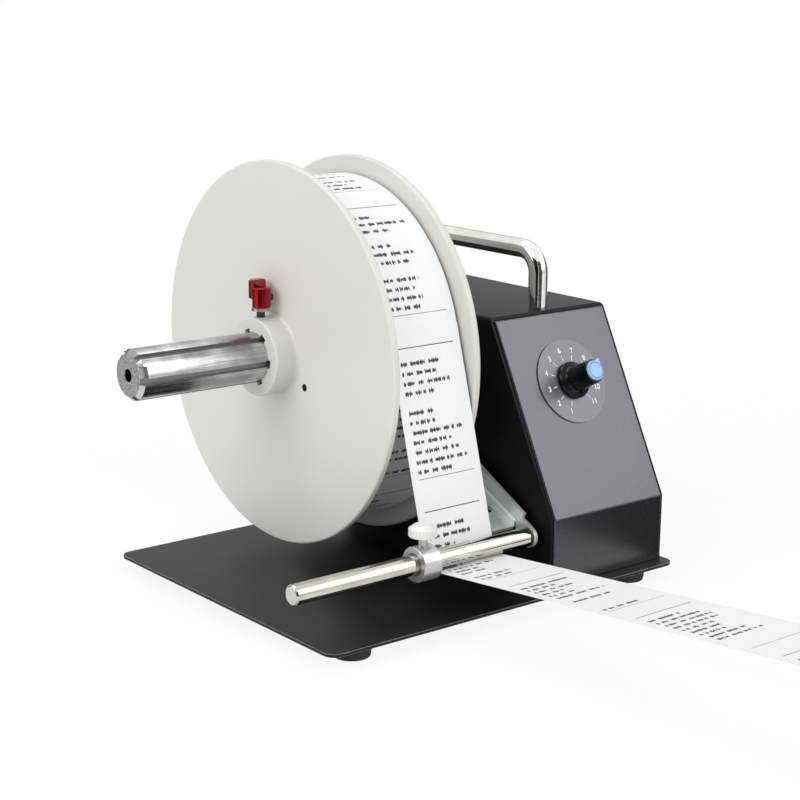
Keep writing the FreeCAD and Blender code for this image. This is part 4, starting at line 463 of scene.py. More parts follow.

# %% [markdown]
# ## The fluted spindle
#
# The spindle is aluminium bar with six flutes and bevelled lands, bright from handling. Its sawn
# end face is different: dull, grey and mottled. All is one piece of metal, so one material holds
# every finish and chooses by place: whatever lies within a tenth of a millimetre of the tip is the
# sawn face, and whatever lies deeper than the lands' surface is a flute, coloured a darker, duller
# grey that is partly painted shade in the groove and partly a duller finish, or the hole in the tip,
# painted nearly black as the shade inside it. The function for streaks has fed the shader already,
# so what it fed is picked up again and mixed with the other finishes.

# %% Spindle metal
spindle_low, spindle_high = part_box("spindle_mandrel")
SPINDLE_AXIS_Y = (spindle_low.y + spindle_high.y) / 2.0
SPINDLE_AXIS_Z = (spindle_low.z + spindle_high.z) / 2.0
LAND_RADIUS = 12.85 * MM
TIP_RADIUS = 10.75 * MM
BORE_RADIUS = 5.0 * MM
SAWN_DEPTH = 0.1 * MM
spindle_metal = streaked("aluminium_machined_bright", "#87888a", "#e6e7e8", 0.15, 0.34, 0.45 * MM,
                         bump_by=0.6)
tree = spindle_metal.node_tree
shader = tree.nodes["Principled BSDF"]
drawn = shader.inputs["Base Color"].links[0].from_socket
drawn_rough = shader.inputs["Roughness"].links[0].from_socket
place = add(tree, "TexCoord").outputs["Object"]
apart = add(tree, "SeparateXYZ", links={"Vector": place})
at_tip = add(tree, "Math", {1: spindle_low.x + SAWN_DEPTH}, {0: apart.outputs["X"]},
             operation="LESS_THAN")
mottle = add(tree, "TexNoise", {"Scale": 900.0, "Detail": 4.0, "Roughness": 0.7}, {"Vector": place})
sawn = add(tree, "MapRange", {"From Min": 0.35, "From Max": 0.65}, {"Value": mottle})
sawn = add(tree, "Mix", {6: linear("#77777a"), 7: linear("#c9c9cb")}, {0: sawn},
           data_type="RGBA")
whole = add(tree, "Mix", links={0: at_tip, 6: drawn, 7: sawn.outputs[2]}, data_type="RGBA")
rough = add(tree, "Mix", {3: 0.62}, {0: at_tip, 2: drawn_rough}, data_type="FLOAT")
centred = add(tree, "Mapping", {"Location": (0.0, -SPINDLE_AXIS_Y, -SPINDLE_AXIS_Z),
                                "Scale": (0.0, 1.0, 1.0)}, {"Vector": place})
deep = add(tree, "VectorMath", links={0: centred}, operation="LENGTH")
bevelled = add(tree, "Math", {1: TIP_RADIUS - spindle_low.x}, {0: apart.outputs["X"]})
surface = add(tree, "Math", {1: LAND_RADIUS}, {0: bevelled}, operation="MINIMUM")
in_flute = add(tree, "Math", links={0: deep.outputs["Value"], 1: surface},
               operation="LESS_THAN")
not_tip = add(tree, "Math", {0: 1.0}, {1: at_tip}, operation="SUBTRACT")
in_flute = add(tree, "Math", links={0: in_flute, 1: not_tip},
               operation="MULTIPLY")
in_bore = add(tree, "Math", {1: BORE_RADIUS}, {0: deep.outputs["Value"]}, operation="LESS_THAN")
# Painted shade: the flutes take a darker grey and the bore a near black, standing in for the shade
# inside them.
flute_and_bore_shade = add(tree, "Mix", {6: linear("#88888a"), 7: linear("#161617")}, {0: in_bore},
                 data_type="RGBA")
with_hollow_shade = add(tree, "Mix", links={0: in_flute, 6: whole.outputs[2],
                                 7: flute_and_bore_shade.outputs[2]}, data_type="RGBA")
rough = add(tree, "Mix", {3: 0.45}, {0: in_flute, 2: rough},
            data_type="FLOAT")
metal = add(tree, "MapRange", {"To Min": 1.0, "To Max": 0.45}, {"Value": in_flute})
wire(shader, {"Metallic": metal, "Base Color": with_hollow_shade.outputs[2], "Roughness": rough})
dress(spindle_metal, "spindle_mandrel")

# %% [markdown]
# ## Zinc, brass, anodising
#
# The arm and the drive bracket are bent from zinc-plated sheet. Passivated zinc is a pale metal
# with a greenish tint that drifts in cloudy patches. Brass parts are turned and only seen through
# openings. The clamp screw's head is anodised deep red: dyed oxide over bright metal, so it stays
# metallic and keeps sharp highlights.

# %% Plated and anodised metals
zinc, tree, shader, place = finish("zinc_plated_passivated", 0.40, 0.6)
patches = add(tree, "TexNoise", {"Scale": 55.0, "Detail": 5.0, "Roughness": 0.6}, {"Vector": place})
tint = add(tree, "ValToRGB", links={"Fac": patches})
tint.color_ramp.elements[0].position = 0.30
tint.color_ramp.elements[0].color = linear("#aeb8b3")
tint.color_ramp.elements[1].position = 0.70
tint.color_ramp.elements[1].color = linear("#dde4e0")
grain = add(tree, "TexNoise", {"Scale": 1500.0, "Detail": 2.0}, {"Vector": place})
rough = add(tree, "MapRange", {"To Min": 0.32, "To Max": 0.50}, {"Value": patches})
bump = add(tree, "Bump", {"Strength": 0.15, "Distance": 0.02 * MM}, {"Height": grain})
wire(shader, {"Base Color": tint.outputs["Color"], "Roughness": rough, "Normal": bump})
dress(zinc, "tension_arm", "drive_bracket", "arm_stop_pin")
# The arm's bevels get a near-white metal, brighter than the zinc: the bare sheared edge, with a
# painted highlight along it.
arm_edge_highlight = streaked("zinc_sheared_edge_painted_highlight", "#c4cbc6", "#f8fbf9", 0.16, 0.26, 0.3 * MM)

brass = streaked("brass_turned", "#a88747", "#cdae6a", 0.20, 0.32, 0.2 * MM)
dress(brass, "arm_pivot_bush", "board_pillars", "motor_pinion")

red_anodising, tree, shader, place = finish("aluminium_anodised_red", 0.22, 1.0, Coat_Weight=0.35,
                                            Coat_Roughness=0.12)
dye = add(tree, "TexNoise", {"Scale": 220.0, "Detail": 4.0}, {"Vector": place})
deep = add(tree, "Mix", {6: linear("#780a0f"), 7: linear("#b01418")}, {0: dye},
           data_type="RGBA")
wire(shader, {"Base Color": deep.outputs[2]})
dress(red_anodising, "clamp_head")

# %% [markdown]
# ## Small plastics and rubber
#
# The knob, the switch and the jack are black moulded plastic, the knob a little glossier from
# being touched. The thumb screw's head is white nylon gone slightly yellow. The large gear is milky
# acetal. The feet are matt rubber with a dusty bloom. The knob's blue cap comes with the dial.

# %% Plastics

def moulded(name, dark, light, roughness, spacing=2.0 * MM, ior=1.5, peel=0.2, specular=0.5):
    """Moulded plastic: a slow change of tone and a faint orange peel."""
    material, tree, shader, place = finish(name, roughness, IOR=ior, Specular_IOR_Level=specular)
    drift = add(tree, "TexNoise", {"Scale": 0.2 / spacing, "Detail": 4.0}, {"Vector": place})
    tone = add(tree, "Mix", {6: linear(dark), 7: linear(light)}, {0: drift},
               data_type="RGBA")
    orange = add(tree, "TexNoise", {"Scale": 1.0 / spacing, "Detail": 2.0}, {"Vector": place})
    rough = add(tree, "MapRange", {"To Min": roughness - 0.08, "To Max": roughness + 0.08},
                {"Value": orange})
    bump = add(tree, "Bump", {"Strength": peel, "Distance": 0.03 * MM},
               {"Height": orange})
    wire(shader, {"Base Color": tone.outputs[2], "Roughness": rough, "Normal": bump})
    return material


knob_plastic = moulded("abs_moulded_black_knob", "#030304", "#080809", 0.20, specular=0.28)
white_nylon = moulded("nylon_moulded_white", "#e0dfd9", "#ebeae5", 0.38)
black_plastic = moulded("abs_moulded_black", "#141415", "#1d1d1e", 0.42)
acetal = moulded("acetal_gear_stock", "#d8d7cf", "#e6e5de", 0.36)
rubber = moulded("rubber_moulded_feet", "#191919", "#2a2a29", 0.78, 0.8 * MM, ior=1.52, peel=0.8)
dress(knob_plastic, "speed_knob")
dress(white_nylon, "collar_screw_head")
dress(black_plastic, "power_jack", "switch_body", "switch_rocker", "sensor_flag", "arm_sensor")
dress(acetal, "driven_gear")
dress(rubber, "rubber_feet")

# %% Circuit board, card core and dial plate
board_resin = moulded("fibreglass_board_green", "#0d3a20", "#14502c", 0.38, 0.6 * MM)
dress(board_resin, "control_board")

core_card, tree, shader, place = finish("cardboard_wound_core", 0.85)
spread = add(tree, "TexNoise", {"Scale": 700.0, "Detail": 4.0}, {"Vector": place})
fibres = add(tree, "Mix", {6: linear("#a58a68"), 7: linear("#c4ab88")}, {0: spread},
             data_type="RGBA")
bump = add(tree, "Bump", {"Strength": 0.3, "Distance": 0.1 * MM}, {"Height": spread})
wire(shader, {"Base Color": fibres.outputs[2], "Normal": bump})
dress(core_card, "roll_core")

dial_metal = powder_coat("aluminium_dial_grey_lacquer", "#504f54", "#5b5960", 0.34, 1.0,
                         grain=0.35 * MM, sheen="#f6f0fc")
dress(dial_metal, "dial_plate")

# %% [markdown]
# ## Edges that catch the light
#
# Folded sheet never has a perfectly sharp edge: the coat rounds it, and it shows as a thin bright
# line. The sheet parts are copied from the frame, their triangles merged back into whole faces,
# and every sharp edge gets a bevel of a quarter to half a millimetre. On the sheets the bevel gets a
# lighter material of its own, a painted highlight that makes the bright line. The rod, the collar
# and the clamp screw's head are done likewise, with no edge material.

# %% Parts with bevelled edges

def with_bevels(name, node, body, width=0.25 * MM, edge=None):
    """A merged copy of a CAD node with its sharp edges rounded, in place of the node."""
    source = nodes[node]
    obj = source.copy()
    obj.data = source.data.copy()
    obj.name = name
    obj.data.name = name
    bpy.context.scene.collection.objects.link(obj)
    obj.data.transform(obj.matrix_world)
    obj.parent = None
    obj.matrix_world = Matrix.Identity(4)
    only(obj)
    if obj.data.has_custom_normals:
        bpy.ops.mesh.customdata_custom_splitnormals_clear()
    edit(obj)
    bpy.ops.mesh.select_all(action="SELECT")
    bpy.ops.mesh.remove_doubles(threshold=0.002 * MM)
    bpy.ops.mesh.dissolve_limited(angle_limit=math.radians(0.5))
    leave()
    smooth(obj, 30)
    bevel = obj.modifiers.new("rounded_edges", "BEVEL")
    bevel.width = width
    bevel.segments = 2
    bevel.limit_method = "ANGLE"
    bevel.angle_limit = math.radians(40)
    bevel.harden_normals = True
    # The edge material, where given, is lighter than the part: a painted highlight on the bevels.
    if edge is not None:
        obj.data.materials.append(edge)
        bevel.material = len(obj.data.materials) - 1
    apply_all(obj)
    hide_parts(node)
    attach(obj, body)
    print(name, len(obj.data.polygons), "faces")


with_bevels("tension_arm_sheet", "tension_arm", "arm", 0.5 * MM, arm_edge_highlight)
with_bevels("base_plate_sheet", "base_plate", "machine", 0.55 * MM, painted_edge_highlight)
with_bevels("housing_shell_sheet", "housing_shell", "machine", edge=painted_soft_edge_highlight)
with_bevels("front_panel_sheet", "front_panel", "machine", edge=painted_soft_edge_highlight)
with_bevels("guide_rod_bar", "guide_rod", "arm", 0.5 * MM)
with_bevels("stop_collar_ring", "stop_collar", "rod_stop", 0.3 * MM)
with_bevels("clamp_head_cut", "clamp_head", "clamp_screw", 0.3 * MM)

# %% [markdown]
# ## The carrying handle
#
# A polished round bar shows every facet, so the handle is swept afresh: a line goes up one leg,
# through two bends and down the other, and a round section of the bar's size follows it.

# %% Handle
HANDLE_RADIUS = 5.0 * MM
HANDLE_BEND = 12.0 * MM
BEND_STEPS = 32
handle_low, handle_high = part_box("carry_handle")
handle_x = (handle_low.x + handle_high.x) / 2.0
front_y, rear_y = handle_low.y + HANDLE_RADIUS, handle_high.y - HANDLE_RADIUS
bar_z = handle_high.z - HANDLE_RADIUS
corners = [Vector((handle_x, front_y, handle_low.z)), Vector((handle_x, front_y, bar_z)),
           Vector((handle_x, rear_y, bar_z)), Vector((handle_x, rear_y, handle_low.z))]
line = [corners[0]]
for before, corner, after in zip(corners, corners[1:], corners[2:]):
    into, out = (corner - before).normalized(), (after - corner).normalized()
    centre = corner + (out - into) * HANDLE_BEND
    for i in range(BEND_STEPS + 1):
        turned = math.pi / 2.0 * i / BEND_STEPS
        line.append(centre - out * HANDLE_BEND * math.cos(turned)
                    + into * HANDLE_BEND * math.sin(turned))
line.append(corners[-1])
curve = bpy.data.curves.new("carry_handle_bar", "CURVE")
curve.dimensions = "3D"
curve.bevel_depth = HANDLE_RADIUS
curve.bevel_resolution = 14
curve.use_fill_caps = True
spline = curve.splines.new("POLY")
spline.points.add(len(line) - 1)
for point, place in zip(spline.points, line):
    point.co = (*place, 1.0)
sweep = bpy.data.objects.new("carry_handle_bar", curve)
bpy.context.scene.collection.objects.link(sweep)
only(sweep)
bpy.ops.object.convert(target="MESH")
handle = made("carry_handle_bar")
handle.data.materials.clear()
handle.data.materials.append(chromed_bar)
smooth(handle, 40)
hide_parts("carry_handle")
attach(handle, "machine")
print("handle:", len(handle.data.polygons), "faces")

# %% [markdown]
# ## The strip of labels
#
# One strip runs from the far right, under the guide rod, up behind it and onto the roll. It is a
# flat ribbon, so its printing is easiest to place along the ribbon itself: U is the distance along
# it and V the distance across, both in metres. The roll and both free lengths share one U, which
# is zero where the strip leaves the roll, and so the printed rows pass from one to the next.

# %% Sizes of the strip
roll_low, roll_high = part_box("label_roll")
rod_low, rod_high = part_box("guide_rod")
tail_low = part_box("label_tail")[0]
ROLL_RADIUS = (roll_high.z - roll_low.z) / 2.0
ROD_RADIUS = 5.0 * MM
STRIP = 0.26 * MM
AIR = 0.04 * MM
TAIL_SLOPE = math.radians(5.5)
roll_y, roll_z = (roll_low.y + roll_high.y) / 2.0, (roll_low.z + roll_high.z) / 2.0
rod_y, rod_z = (rod_low.y + rod_high.y) / 2.0, (rod_low.z + rod_high.z) / 2.0
roll_reach = ROLL_RADIUS + AIR + STRIP / 2.0
rod_reach = ROD_RADIUS + AIR + STRIP / 2.0
apart_yz = Vector((rod_y - roll_y, rod_z - roll_z))
LEAVE = (math.atan2(apart_yz.y, apart_yz.x)
         - math.acos((roll_reach + rod_reach) / apart_yz.length)) % (2.0 * math.pi)
free_run = math.sqrt(apart_yz.length ** 2 - (roll_reach + rod_reach) ** 2)
wrap_start = LEAVE + math.pi
wrap_end = 1.5 * math.pi - TAIL_SLOPE
wrap_angle = (wrap_start - wrap_end) % (2.0 * math.pi)
wrap_run = wrap_angle * rod_reach
tail_run = (rod_y - tail_low.y) / math.cos(TAIL_SLOPE)
print("strip: %.1f mm free, %.1f mm round the rod, %.1f mm ahead of it"
      % (free_run / MM, wrap_run / MM, tail_run / MM))


# %% [markdown]
# The path is three plain pieces: straight from the roll to the rod, an arc under the rod, and
# straight on. A function of the distance gives the point and the way out of the printed side.

# %% Path of the strip

def strip_path(s):
    """(y, z) of the strip's middle at a distance from the roll, and the printed side's way out."""
    out = Vector((math.cos(LEAVE), math.sin(LEAVE)))
    down = Vector((-out.y, out.x))
    start = Vector((roll_y, roll_z)) + out * roll_reach
    if s <= free_run:
        return start + down * s, out
    turned = min((s - free_run) / rod_reach, wrap_angle)
    at = wrap_start - turned
    spoke = Vector((math.cos(at), math.sin(at)))
    point = Vector((rod_y, rod_z)) + spoke * rod_reach
    if s > free_run + wrap_run:
        ahead = Vector((-math.cos(TAIL_SLOPE), math.sin(TAIL_SLOPE)))
        point = point + ahead * (s - free_run - wrap_run)
    return point, -spoke


print("rod side of the strip:", [round(v / MM, 1) for v in strip_path(free_run + wrap_run)[0]])

# %% [markdown]
# ## Printed labels
#
# The printing is made of plain bars and rules. Every label is 80 mm of strip. Rows 4.8 mm apart
# hold a bar each, whose length is random for the row. Short gaps break it into word-like runs, and
# a quick noise makes it taller and lower, so that it isn't one plain dash.
# Two rules across the strip frame the block. All of it is arithmetic on U and V, so it stays sharp
# at any distance and needs no picture.

# %% Printed label stock
LABEL_PITCH = 80.0 * MM
ROW_PITCH = 4.8 * MM
MIDDLE_ROW, ROWS_EACH_WAY = 8.5, 5.7
SHORTEST_BAR, LONGEST_BAR = 12.0 * MM, 37.0 * MM
RULES = ((9.0 * MM, 0.25 * MM), (73.0 * MM, 0.15 * MM))
MARGIN = 4.5 * MM
WIDTH = roll_high.x - roll_low.x

printed, tree, shader, place = finish("label_stock_printed", 0.55, IOR=1.47,
                                      Specular_IOR_Level=0.35)
uv = add(tree, "UVMap", uv_map="strip")
split = add(tree, "SeparateXYZ", links={"Vector": uv.outputs["UV"]})
along, across = split.outputs["X"], split.outputs["Y"]
label = add(tree, "Math", {1: LABEL_PITCH}, {0: along}, operation="FLOORED_MODULO")
count = add(tree, "Math", {1: LABEL_PITCH}, {0: along}, operation="DIVIDE")
count = add(tree, "Math", links={0: count}, operation="FLOOR")
rows = add(tree, "Math", {1: ROW_PITCH}, {0: label}, operation="DIVIDE")
row = add(tree, "Math", links={0: rows}, operation="FLOOR")
in_row = add(tree, "Math", links={0: rows}, operation="FRACT")
seed = add(tree, "CombineXYZ", links={0: row, 1: count})
luck = add(tree, "TexWhiteNoise", links={"Vector": seed}, noise_dimensions="2D")
bar_end = add(tree, "MapRange", {"To Min": SHORTEST_BAR, "To Max": LONGEST_BAR}, {"Value": luck})
after_margin = add(tree, "Math", {1: MARGIN}, {0: across}, operation="GREATER_THAN")
before_end = add(tree, "Math", links={0: across, 1: bar_end}, operation="LESS_THAN")
word_place = add(tree, "Math", {1: 37.0}, {0: row, 2: across}, operation="MULTIPLY_ADD")
words = add(tree, "TexNoise", {"Scale": 360.0, "Detail": 0.0}, {"W": word_place},
            noise_dimensions="1D")
solid = add(tree, "Math", {1: 0.43}, {0: words}, operation="GREATER_THAN")
strokes = add(tree, "TexNoise", {"Scale": 1250.0, "Detail": 0.0}, {"W": word_place},
              noise_dimensions="1D")
tall = add(tree, "MapRange", {"From Min": 0.3, "From Max": 0.7, "To Min": 0.08, "To Max": 0.27},
           {"Value": strokes})
bar_high = add(tree, "Math", {1: 0.5}, {0: in_row, 2: tall},
               operation="COMPARE")
used = add(tree, "Math", {1: 0.20}, {0: luck}, operation="GREATER_THAN")
inside = add(tree, "Math", {1: MIDDLE_ROW, 2: ROWS_EACH_WAY}, {0: row}, operation="COMPARE")
ink = after_margin
for other in (before_end, bar_high, solid, used, inside):
    ink = add(tree, "Math", links={0: ink, 1: other}, operation="MULTIPLY")
for rule_at, half in RULES:
    rule = add(tree, "Math", {1: rule_at, 2: half}, {0: label}, operation="COMPARE")
    mid = add(tree, "Math", {1: WIDTH / 2.0, 2: WIDTH / 2.0 - MARGIN}, {0: across},
              operation="COMPARE")
    rule = add(tree, "Math", links={0: rule, 1: mid}, operation="MULTIPLY")
    ink = add(tree, "Math", links={0: ink, 1: rule}, operation="MAXIMUM")
fibre = add(tree, "TexNoise", {"Scale": 800.0, "Detail": 3.0}, {"Vector": place})
paper = add(tree, "Mix", {6: linear("#e9ebed"), 7: linear("#f2f3f4")}, {0: fibre},
            data_type="RGBA")
marked = add(tree, "Mix", {7: linear("#3c3c40")}, {0: ink, 6: paper.outputs[2]},
             data_type="RGBA")
bump = add(tree, "Bump", {"Strength": 0.05, "Distance": 0.02 * MM}, {"Height": fibre})
wire(shader, {"Base Color": marked.outputs[2], "Normal": bump})

# %% [markdown]
# The back of the strip is glossy release paper, and the sides of the roll show hundreds of cut
# edges. The winds are thinner than a pixel, so they are drawn 0.5 mm apart as faint rings round
# the spindle's axis.

# %% Backing and cut edges
WIND_PITCH = 0.5 * MM
backing = moulded("release_paper_glassine", "#e2e1dc", "#ecebe6", 0.45)

edges, tree, shader, place = finish("paper_cut_edges", 0.8)
centred = add(tree, "Mapping", {"Location": (0.0, -roll_y, -roll_z)}, {"Vector": place})
split = add(tree, "SeparateXYZ", links={"Vector": centred})
flat = add(tree, "CombineXYZ", links={1: split.outputs["Y"], 2: split.outputs["Z"]})
distance = add(tree, "VectorMath", links={0: flat}, operation="LENGTH")
winds = add(tree, "TexNoise", {"Scale": 1.0 / WIND_PITCH, "Detail": 3.0},
            {"W": distance.outputs["Value"]}, noise_dimensions="1D")
shades = add(tree, "Mix", {6: linear("#c9c7c1"), 7: linear("#f1f0ec")}, {0: winds},
             data_type="RGBA")
bump = add(tree, "Bump", {"Strength": 0.5, "Distance": 0.1 * MM}, {"Height": winds})
wire(shader, {"Base Color": shades.outputs[2], "Normal": bump})

# %% [markdown]
# ## The wound roll
#
# A full roll is a cylinder whose sides are never quite flat: each few winds stand a hair in or
# out. It starts as a cylinder lying on the spindle's axis. Its two ends are inset again and again,
# each time with a small random step, which leaves rings as a winder does. The last inset is opened
# and bridged into the hole for the core.

# %% Wound roll
ROLL_SEGMENTS = 256
CORE_RADIUS = 16.18 * MM
WIND_RINGS = 26
RIM = 0.5 * MM
DEEPEST_WIND = -0.22 * MM
LAST_WIND = -0.1 * MM
bpy.ops.object.select_all(action="DESELECT")
bpy.ops.mesh.primitive_cylinder_add(
    vertices=ROLL_SEGMENTS, radius=ROLL_RADIUS, depth=WIDTH,
    location=((roll_low.x + roll_high.x) / 2.0, roll_y, roll_z), rotation=(0, math.pi / 2.0, 0))
roll = made("label_roll_wound")
edit(roll)
pick(roll, "FACE", lambda f: abs(f.normal.x) > 0.9)
bpy.ops.mesh.inset(thickness=RIM, depth=0.0)
ring = (ROLL_RADIUS - CORE_RADIUS - RIM) / WIND_RINGS
reached = 0.0
for i in range(WIND_RINGS):
    wanted = random.uniform(DEEPEST_WIND, 0.0) if i < WIND_RINGS - 1 else LAST_WIND
    bpy.ops.mesh.inset(thickness=ring, depth=wanted - reached)
    reached = wanted
bpy.ops.mesh.bridge_edge_loops()
leave()
print("wound roll:", len(roll.data.polygons), "faces")


# %% [markdown]
# The UV map is laid by the angle round the axis. A face that spans the place where the angle jumps
# from a full turn to zero would be smeared, so each corner takes the turn nearest to its face's
# middle.

# %% Wrap the printing round the roll

def wrap_back(y, z):
    """How far round the roll a place is from where the strip leaves it, against its way."""
    return (LEAVE - math.atan2(z - roll_z, y - roll_y)) % (2.0 * math.pi)


roll.data.materials.append(printed)
roll.data.materials.append(edges)
layer = roll.data.uv_layers.new(name="strip")
for face in roll.data.polygons:
    outside = (Vector(face.center).yz - Vector((roll_y, roll_z))).length > ROLL_RADIUS * 0.98
    face.material_index = 0 if outside and abs(face.normal.x) < 0.5 else 1
    middle = wrap_back(face.center.y, face.center.z)
    for index in face.loop_indices:
        corner = roll.data.vertices[roll.data.loops[index].vertex_index].co
        back_by = wrap_back(corner.y, corner.z)
        back_by += 2.0 * math.pi * round((middle - back_by) / (2.0 * math.pi))
        layer.data[index].uv = (-back_by * ROLL_RADIUS, corner.x - roll_low.x)
smooth(roll, 30)
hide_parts("label_roll")
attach(roll, "spindle")


# %% [markdown]
# ## The two free lengths
#
# A stretched strip is a grid of flat cells bent along the path. Each length gets a little slack
# across its width, a tenth of a millimetre at most, so that the light moves over it as it does over
# real paper. It fades out towards the roll and the rod, where the strip lies on. Solidify gives it
# its thickness and puts release paper on the back.

# %% Free lengths of the strip
CELLS_ACROSS = 10
SLACK = 0.10 * MM
SLACK_PITCH = 31.0 * MM
FADE = 12.0 * MM


def strip_length(name, start, end, cells):
    """A piece of the strip between two distances along it."""
    bpy.ops.object.select_all(action="DESELECT")
    bpy.ops.mesh.primitive_grid_add(x_subdivisions=cells, y_subdivisions=CELLS_ACROSS, size=1.0)
    obj = made(name)
    layer = obj.data.uv_layers.new(name="strip")
    places = {}
    for vertex in obj.data.vertices:
        s = start + (end - start) * (vertex.co.x + 0.5)
        across = WIDTH * (vertex.co.y + 0.5)
        point, out = strip_path(s)
        sway = SLACK * math.sin(s / SLACK_PITCH) * math.sin(math.pi * across / WIDTH)
        fade = min(1.0, abs(s - free_run) / FADE, s / FADE, abs(s - free_run - wrap_run) / FADE)
        fade = 0.0 if free_run <= s <= free_run + wrap_run else fade
        point = point + out * sway * fade
        places[vertex.index] = (s, across)
        vertex.co = (roll_low.x + across, point.x, point.y)
    for loop in obj.data.loops:
        layer.data[loop.index].uv = places[loop.vertex_index]
    obj.data.update()
    face = obj.data.polygons[len(obj.data.polygons) // 2]
    s_here = places[face.vertices[0]][0]
    if Vector(face.normal).yz.dot(strip_path(s_here)[1]) < 0:
        obj.data.flip_normals()
    obj.data.materials.append(printed)
    obj.data.materials.append(backing)
    thick = obj.modifiers.new("paper", "SOLIDIFY")
    thick.thickness = STRIP
    thick.offset = 0.0
    thick.material_offset = 1
    thick.material_offset_rim = 1
    apply_all(obj)
    smooth(obj, 40)
    print(name, "is %.1f mm long" % ((end - start) / MM))
    return obj


rising = strip_length("label_strip_rising", 0.0, free_run + wrap_run, 120)
incoming = strip_length("label_strip_incoming", free_run + wrap_run,
                        free_run + wrap_run + tail_run, 60)
for piece, node, run in ((rising, "label_strand", free_run + wrap_run),
                         (incoming, "label_tail", tail_run)):
    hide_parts(node)
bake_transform(rising)
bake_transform(incoming)

# %% [markdown]
# ## Printing on the dial
#
# The dial plate has a tick and a number for each of its eleven settings. Text is made upright at
# the origin, turned into a mesh, and only then carried onto the slope by a matrix of the slope's
# own axes. Each mark is a film five hundredths of a millimetre thick, lying on the plate. The knob's
# blue cap has a groove round its top that is not modelled; its shade is painted as a darker blue
# ring about the knob's axis.

# %% The sloped panel's axes, and the cap
plate_low, plate_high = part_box("dial_plate")
SLOPE_SETBACK, SLOPE_RISE = 48.9, 95.1
SLOPE_UP = Vector((0.0, SLOPE_SETBACK, SLOPE_RISE)).normalized()
SLOPE_OUT = Vector((0.0, -SLOPE_UP.z, SLOPE_UP.y))
PLATE_THICKNESS = 0.8 * MM
plate_middle = (plate_low + plate_high) / 2.0 + SLOPE_OUT * PLATE_THICKNESS / 2.0
FIRST_ANGLE = 202.0
ANGLE_STEP = 29.7
NUMBER_COUNT = 11
NUMBER_RADIUS = 16.7 * MM
NUMBER_HEIGHT = 4.0 * MM
NUMBER_WEIGHT = 0.06 * MM
TICK_INNER, TICK_OUTER = 11.2 * MM, 14.0 * MM
TICK_WIDTH = 0.34 * MM
FILM = 0.05 * MM
FILM_MIDDLE = 0.03 * MM
ink_white = moulded("screen_ink_white", "#f4f4f4", "#ffffff", 0.5)


def onto_slope(x, y, z=0.0):
    """A place on the dial plate's face: x to the right, y up the slope, z out of it."""
    return plate_middle + Vector((x, 0, 0)) + SLOPE_UP * y + SLOPE_OUT * z


slope_turn = Matrix((Vector((1, 0, 0)), SLOPE_UP, SLOPE_OUT)).transposed().to_4x4()

CAP_GROOVE_SHADE = (3.9 * MM, 4.5 * MM)
cap_plastic, tree, shader, place = finish("abs_moulded_blue_cap", 0.26, IOR=1.5)
from_axis = add(tree, "VectorMath", {1: plate_middle}, {0: place}, operation="SUBTRACT")
outwards = add(tree, "VectorMath", {1: SLOPE_OUT}, {0: from_axis}, operation="DOT_PRODUCT")
along_axis = add(tree, "VectorMath", {0: SLOPE_OUT}, {"Scale": outwards.outputs["Value"]},
                 operation="SCALE")
aside = add(tree, "VectorMath", links={0: from_axis, 1: along_axis},
            operation="SUBTRACT")
aside = add(tree, "VectorMath", links={0: aside}, operation="LENGTH")
# Painted shade: a darker blue ring where the unmodelled groove would lie in shade.
groove_shade_ring = add(tree, "Math", {1: sum(CAP_GROOVE_SHADE) / 2.0, 2: (CAP_GROOVE_SHADE[1] - CAP_GROOVE_SHADE[0]) / 2.0},
             {0: aside.outputs["Value"]}, operation="COMPARE")
drift = add(tree, "TexNoise", {"Scale": 700.0, "Detail": 3.0}, {"Vector": place})
blue = add(tree, "Mix", {6: linear("#74a4e6"), 7: linear("#a4c8f6")}, {0: drift},
           data_type="RGBA")
blue = add(tree, "Mix", {7: linear("#2f6cc4")}, {0: groove_shade_ring, 6: blue.outputs[2]},
           data_type="RGBA")
wire(shader, {"Base Color": blue.outputs[2]})
dress(cap_plastic, "knob_cap")
print("dial centre:", [round(v / MM, 1) for v in plate_middle])

# %% Numbers and ticks
marks = []
for i in range(NUMBER_COUNT):
    clockwise = math.radians(FIRST_ANGLE + ANGLE_STEP * i)
    way = Vector((math.sin(clockwise), math.cos(clockwise)))
    bpy.ops.object.select_all(action="DESELECT")
    bpy.ops.object.text_add()
    text = bpy.context.active_object
    text.data.body = str(i + 1)
    text.data.size = NUMBER_HEIGHT
    text.data.align_x = "CENTER"
    text.data.align_y = "CENTER"
    text.data.extrude = FILM / 2.0
    text.data.offset = NUMBER_WEIGHT
    bpy.ops.object.convert(target="MESH")
    number = bpy.context.active_object
    centre = onto_slope(way.x * NUMBER_RADIUS, way.y * NUMBER_RADIUS, FILM_MIDDLE)
    number.data.transform(Matrix.Translation(centre) @ slope_turn)
    marks.append(number)
    bpy.ops.object.select_all(action="DESELECT")
    bpy.ops.mesh.primitive_cube_add(size=1.0)
    tick = made("tick")
    size = Matrix.Diagonal((TICK_WIDTH, TICK_OUTER - TICK_INNER, FILM, 1.0))
    lean = Matrix.Rotation(-clockwise, 4, "Z")
    middle = onto_slope(way.x * (TICK_INNER + TICK_OUTER) / 2.0,
                        way.y * (TICK_INNER + TICK_OUTER) / 2.0, FILM_MIDDLE)
    tick.data.transform(Matrix.Translation(middle) @ slope_turn @ lean @ size)
    marks.append(tick)
dial_print = joined(marks, "dial_print", ink_white)
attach(dial_print, "machine")
print("dial print:", len(dial_print.data.polygons), "faces")

# %% [markdown]
# ## Screw heads
#
# The screws under the base and on the rear panel are plated pan heads with a cross recess. A head
# is modelled once: a low cylinder, its rim rounded by a bevel, and a cross cut with a boolean of
# two crossed tapered bars. It is then copied to each place, each copy with its own mesh.

# %% One pan head

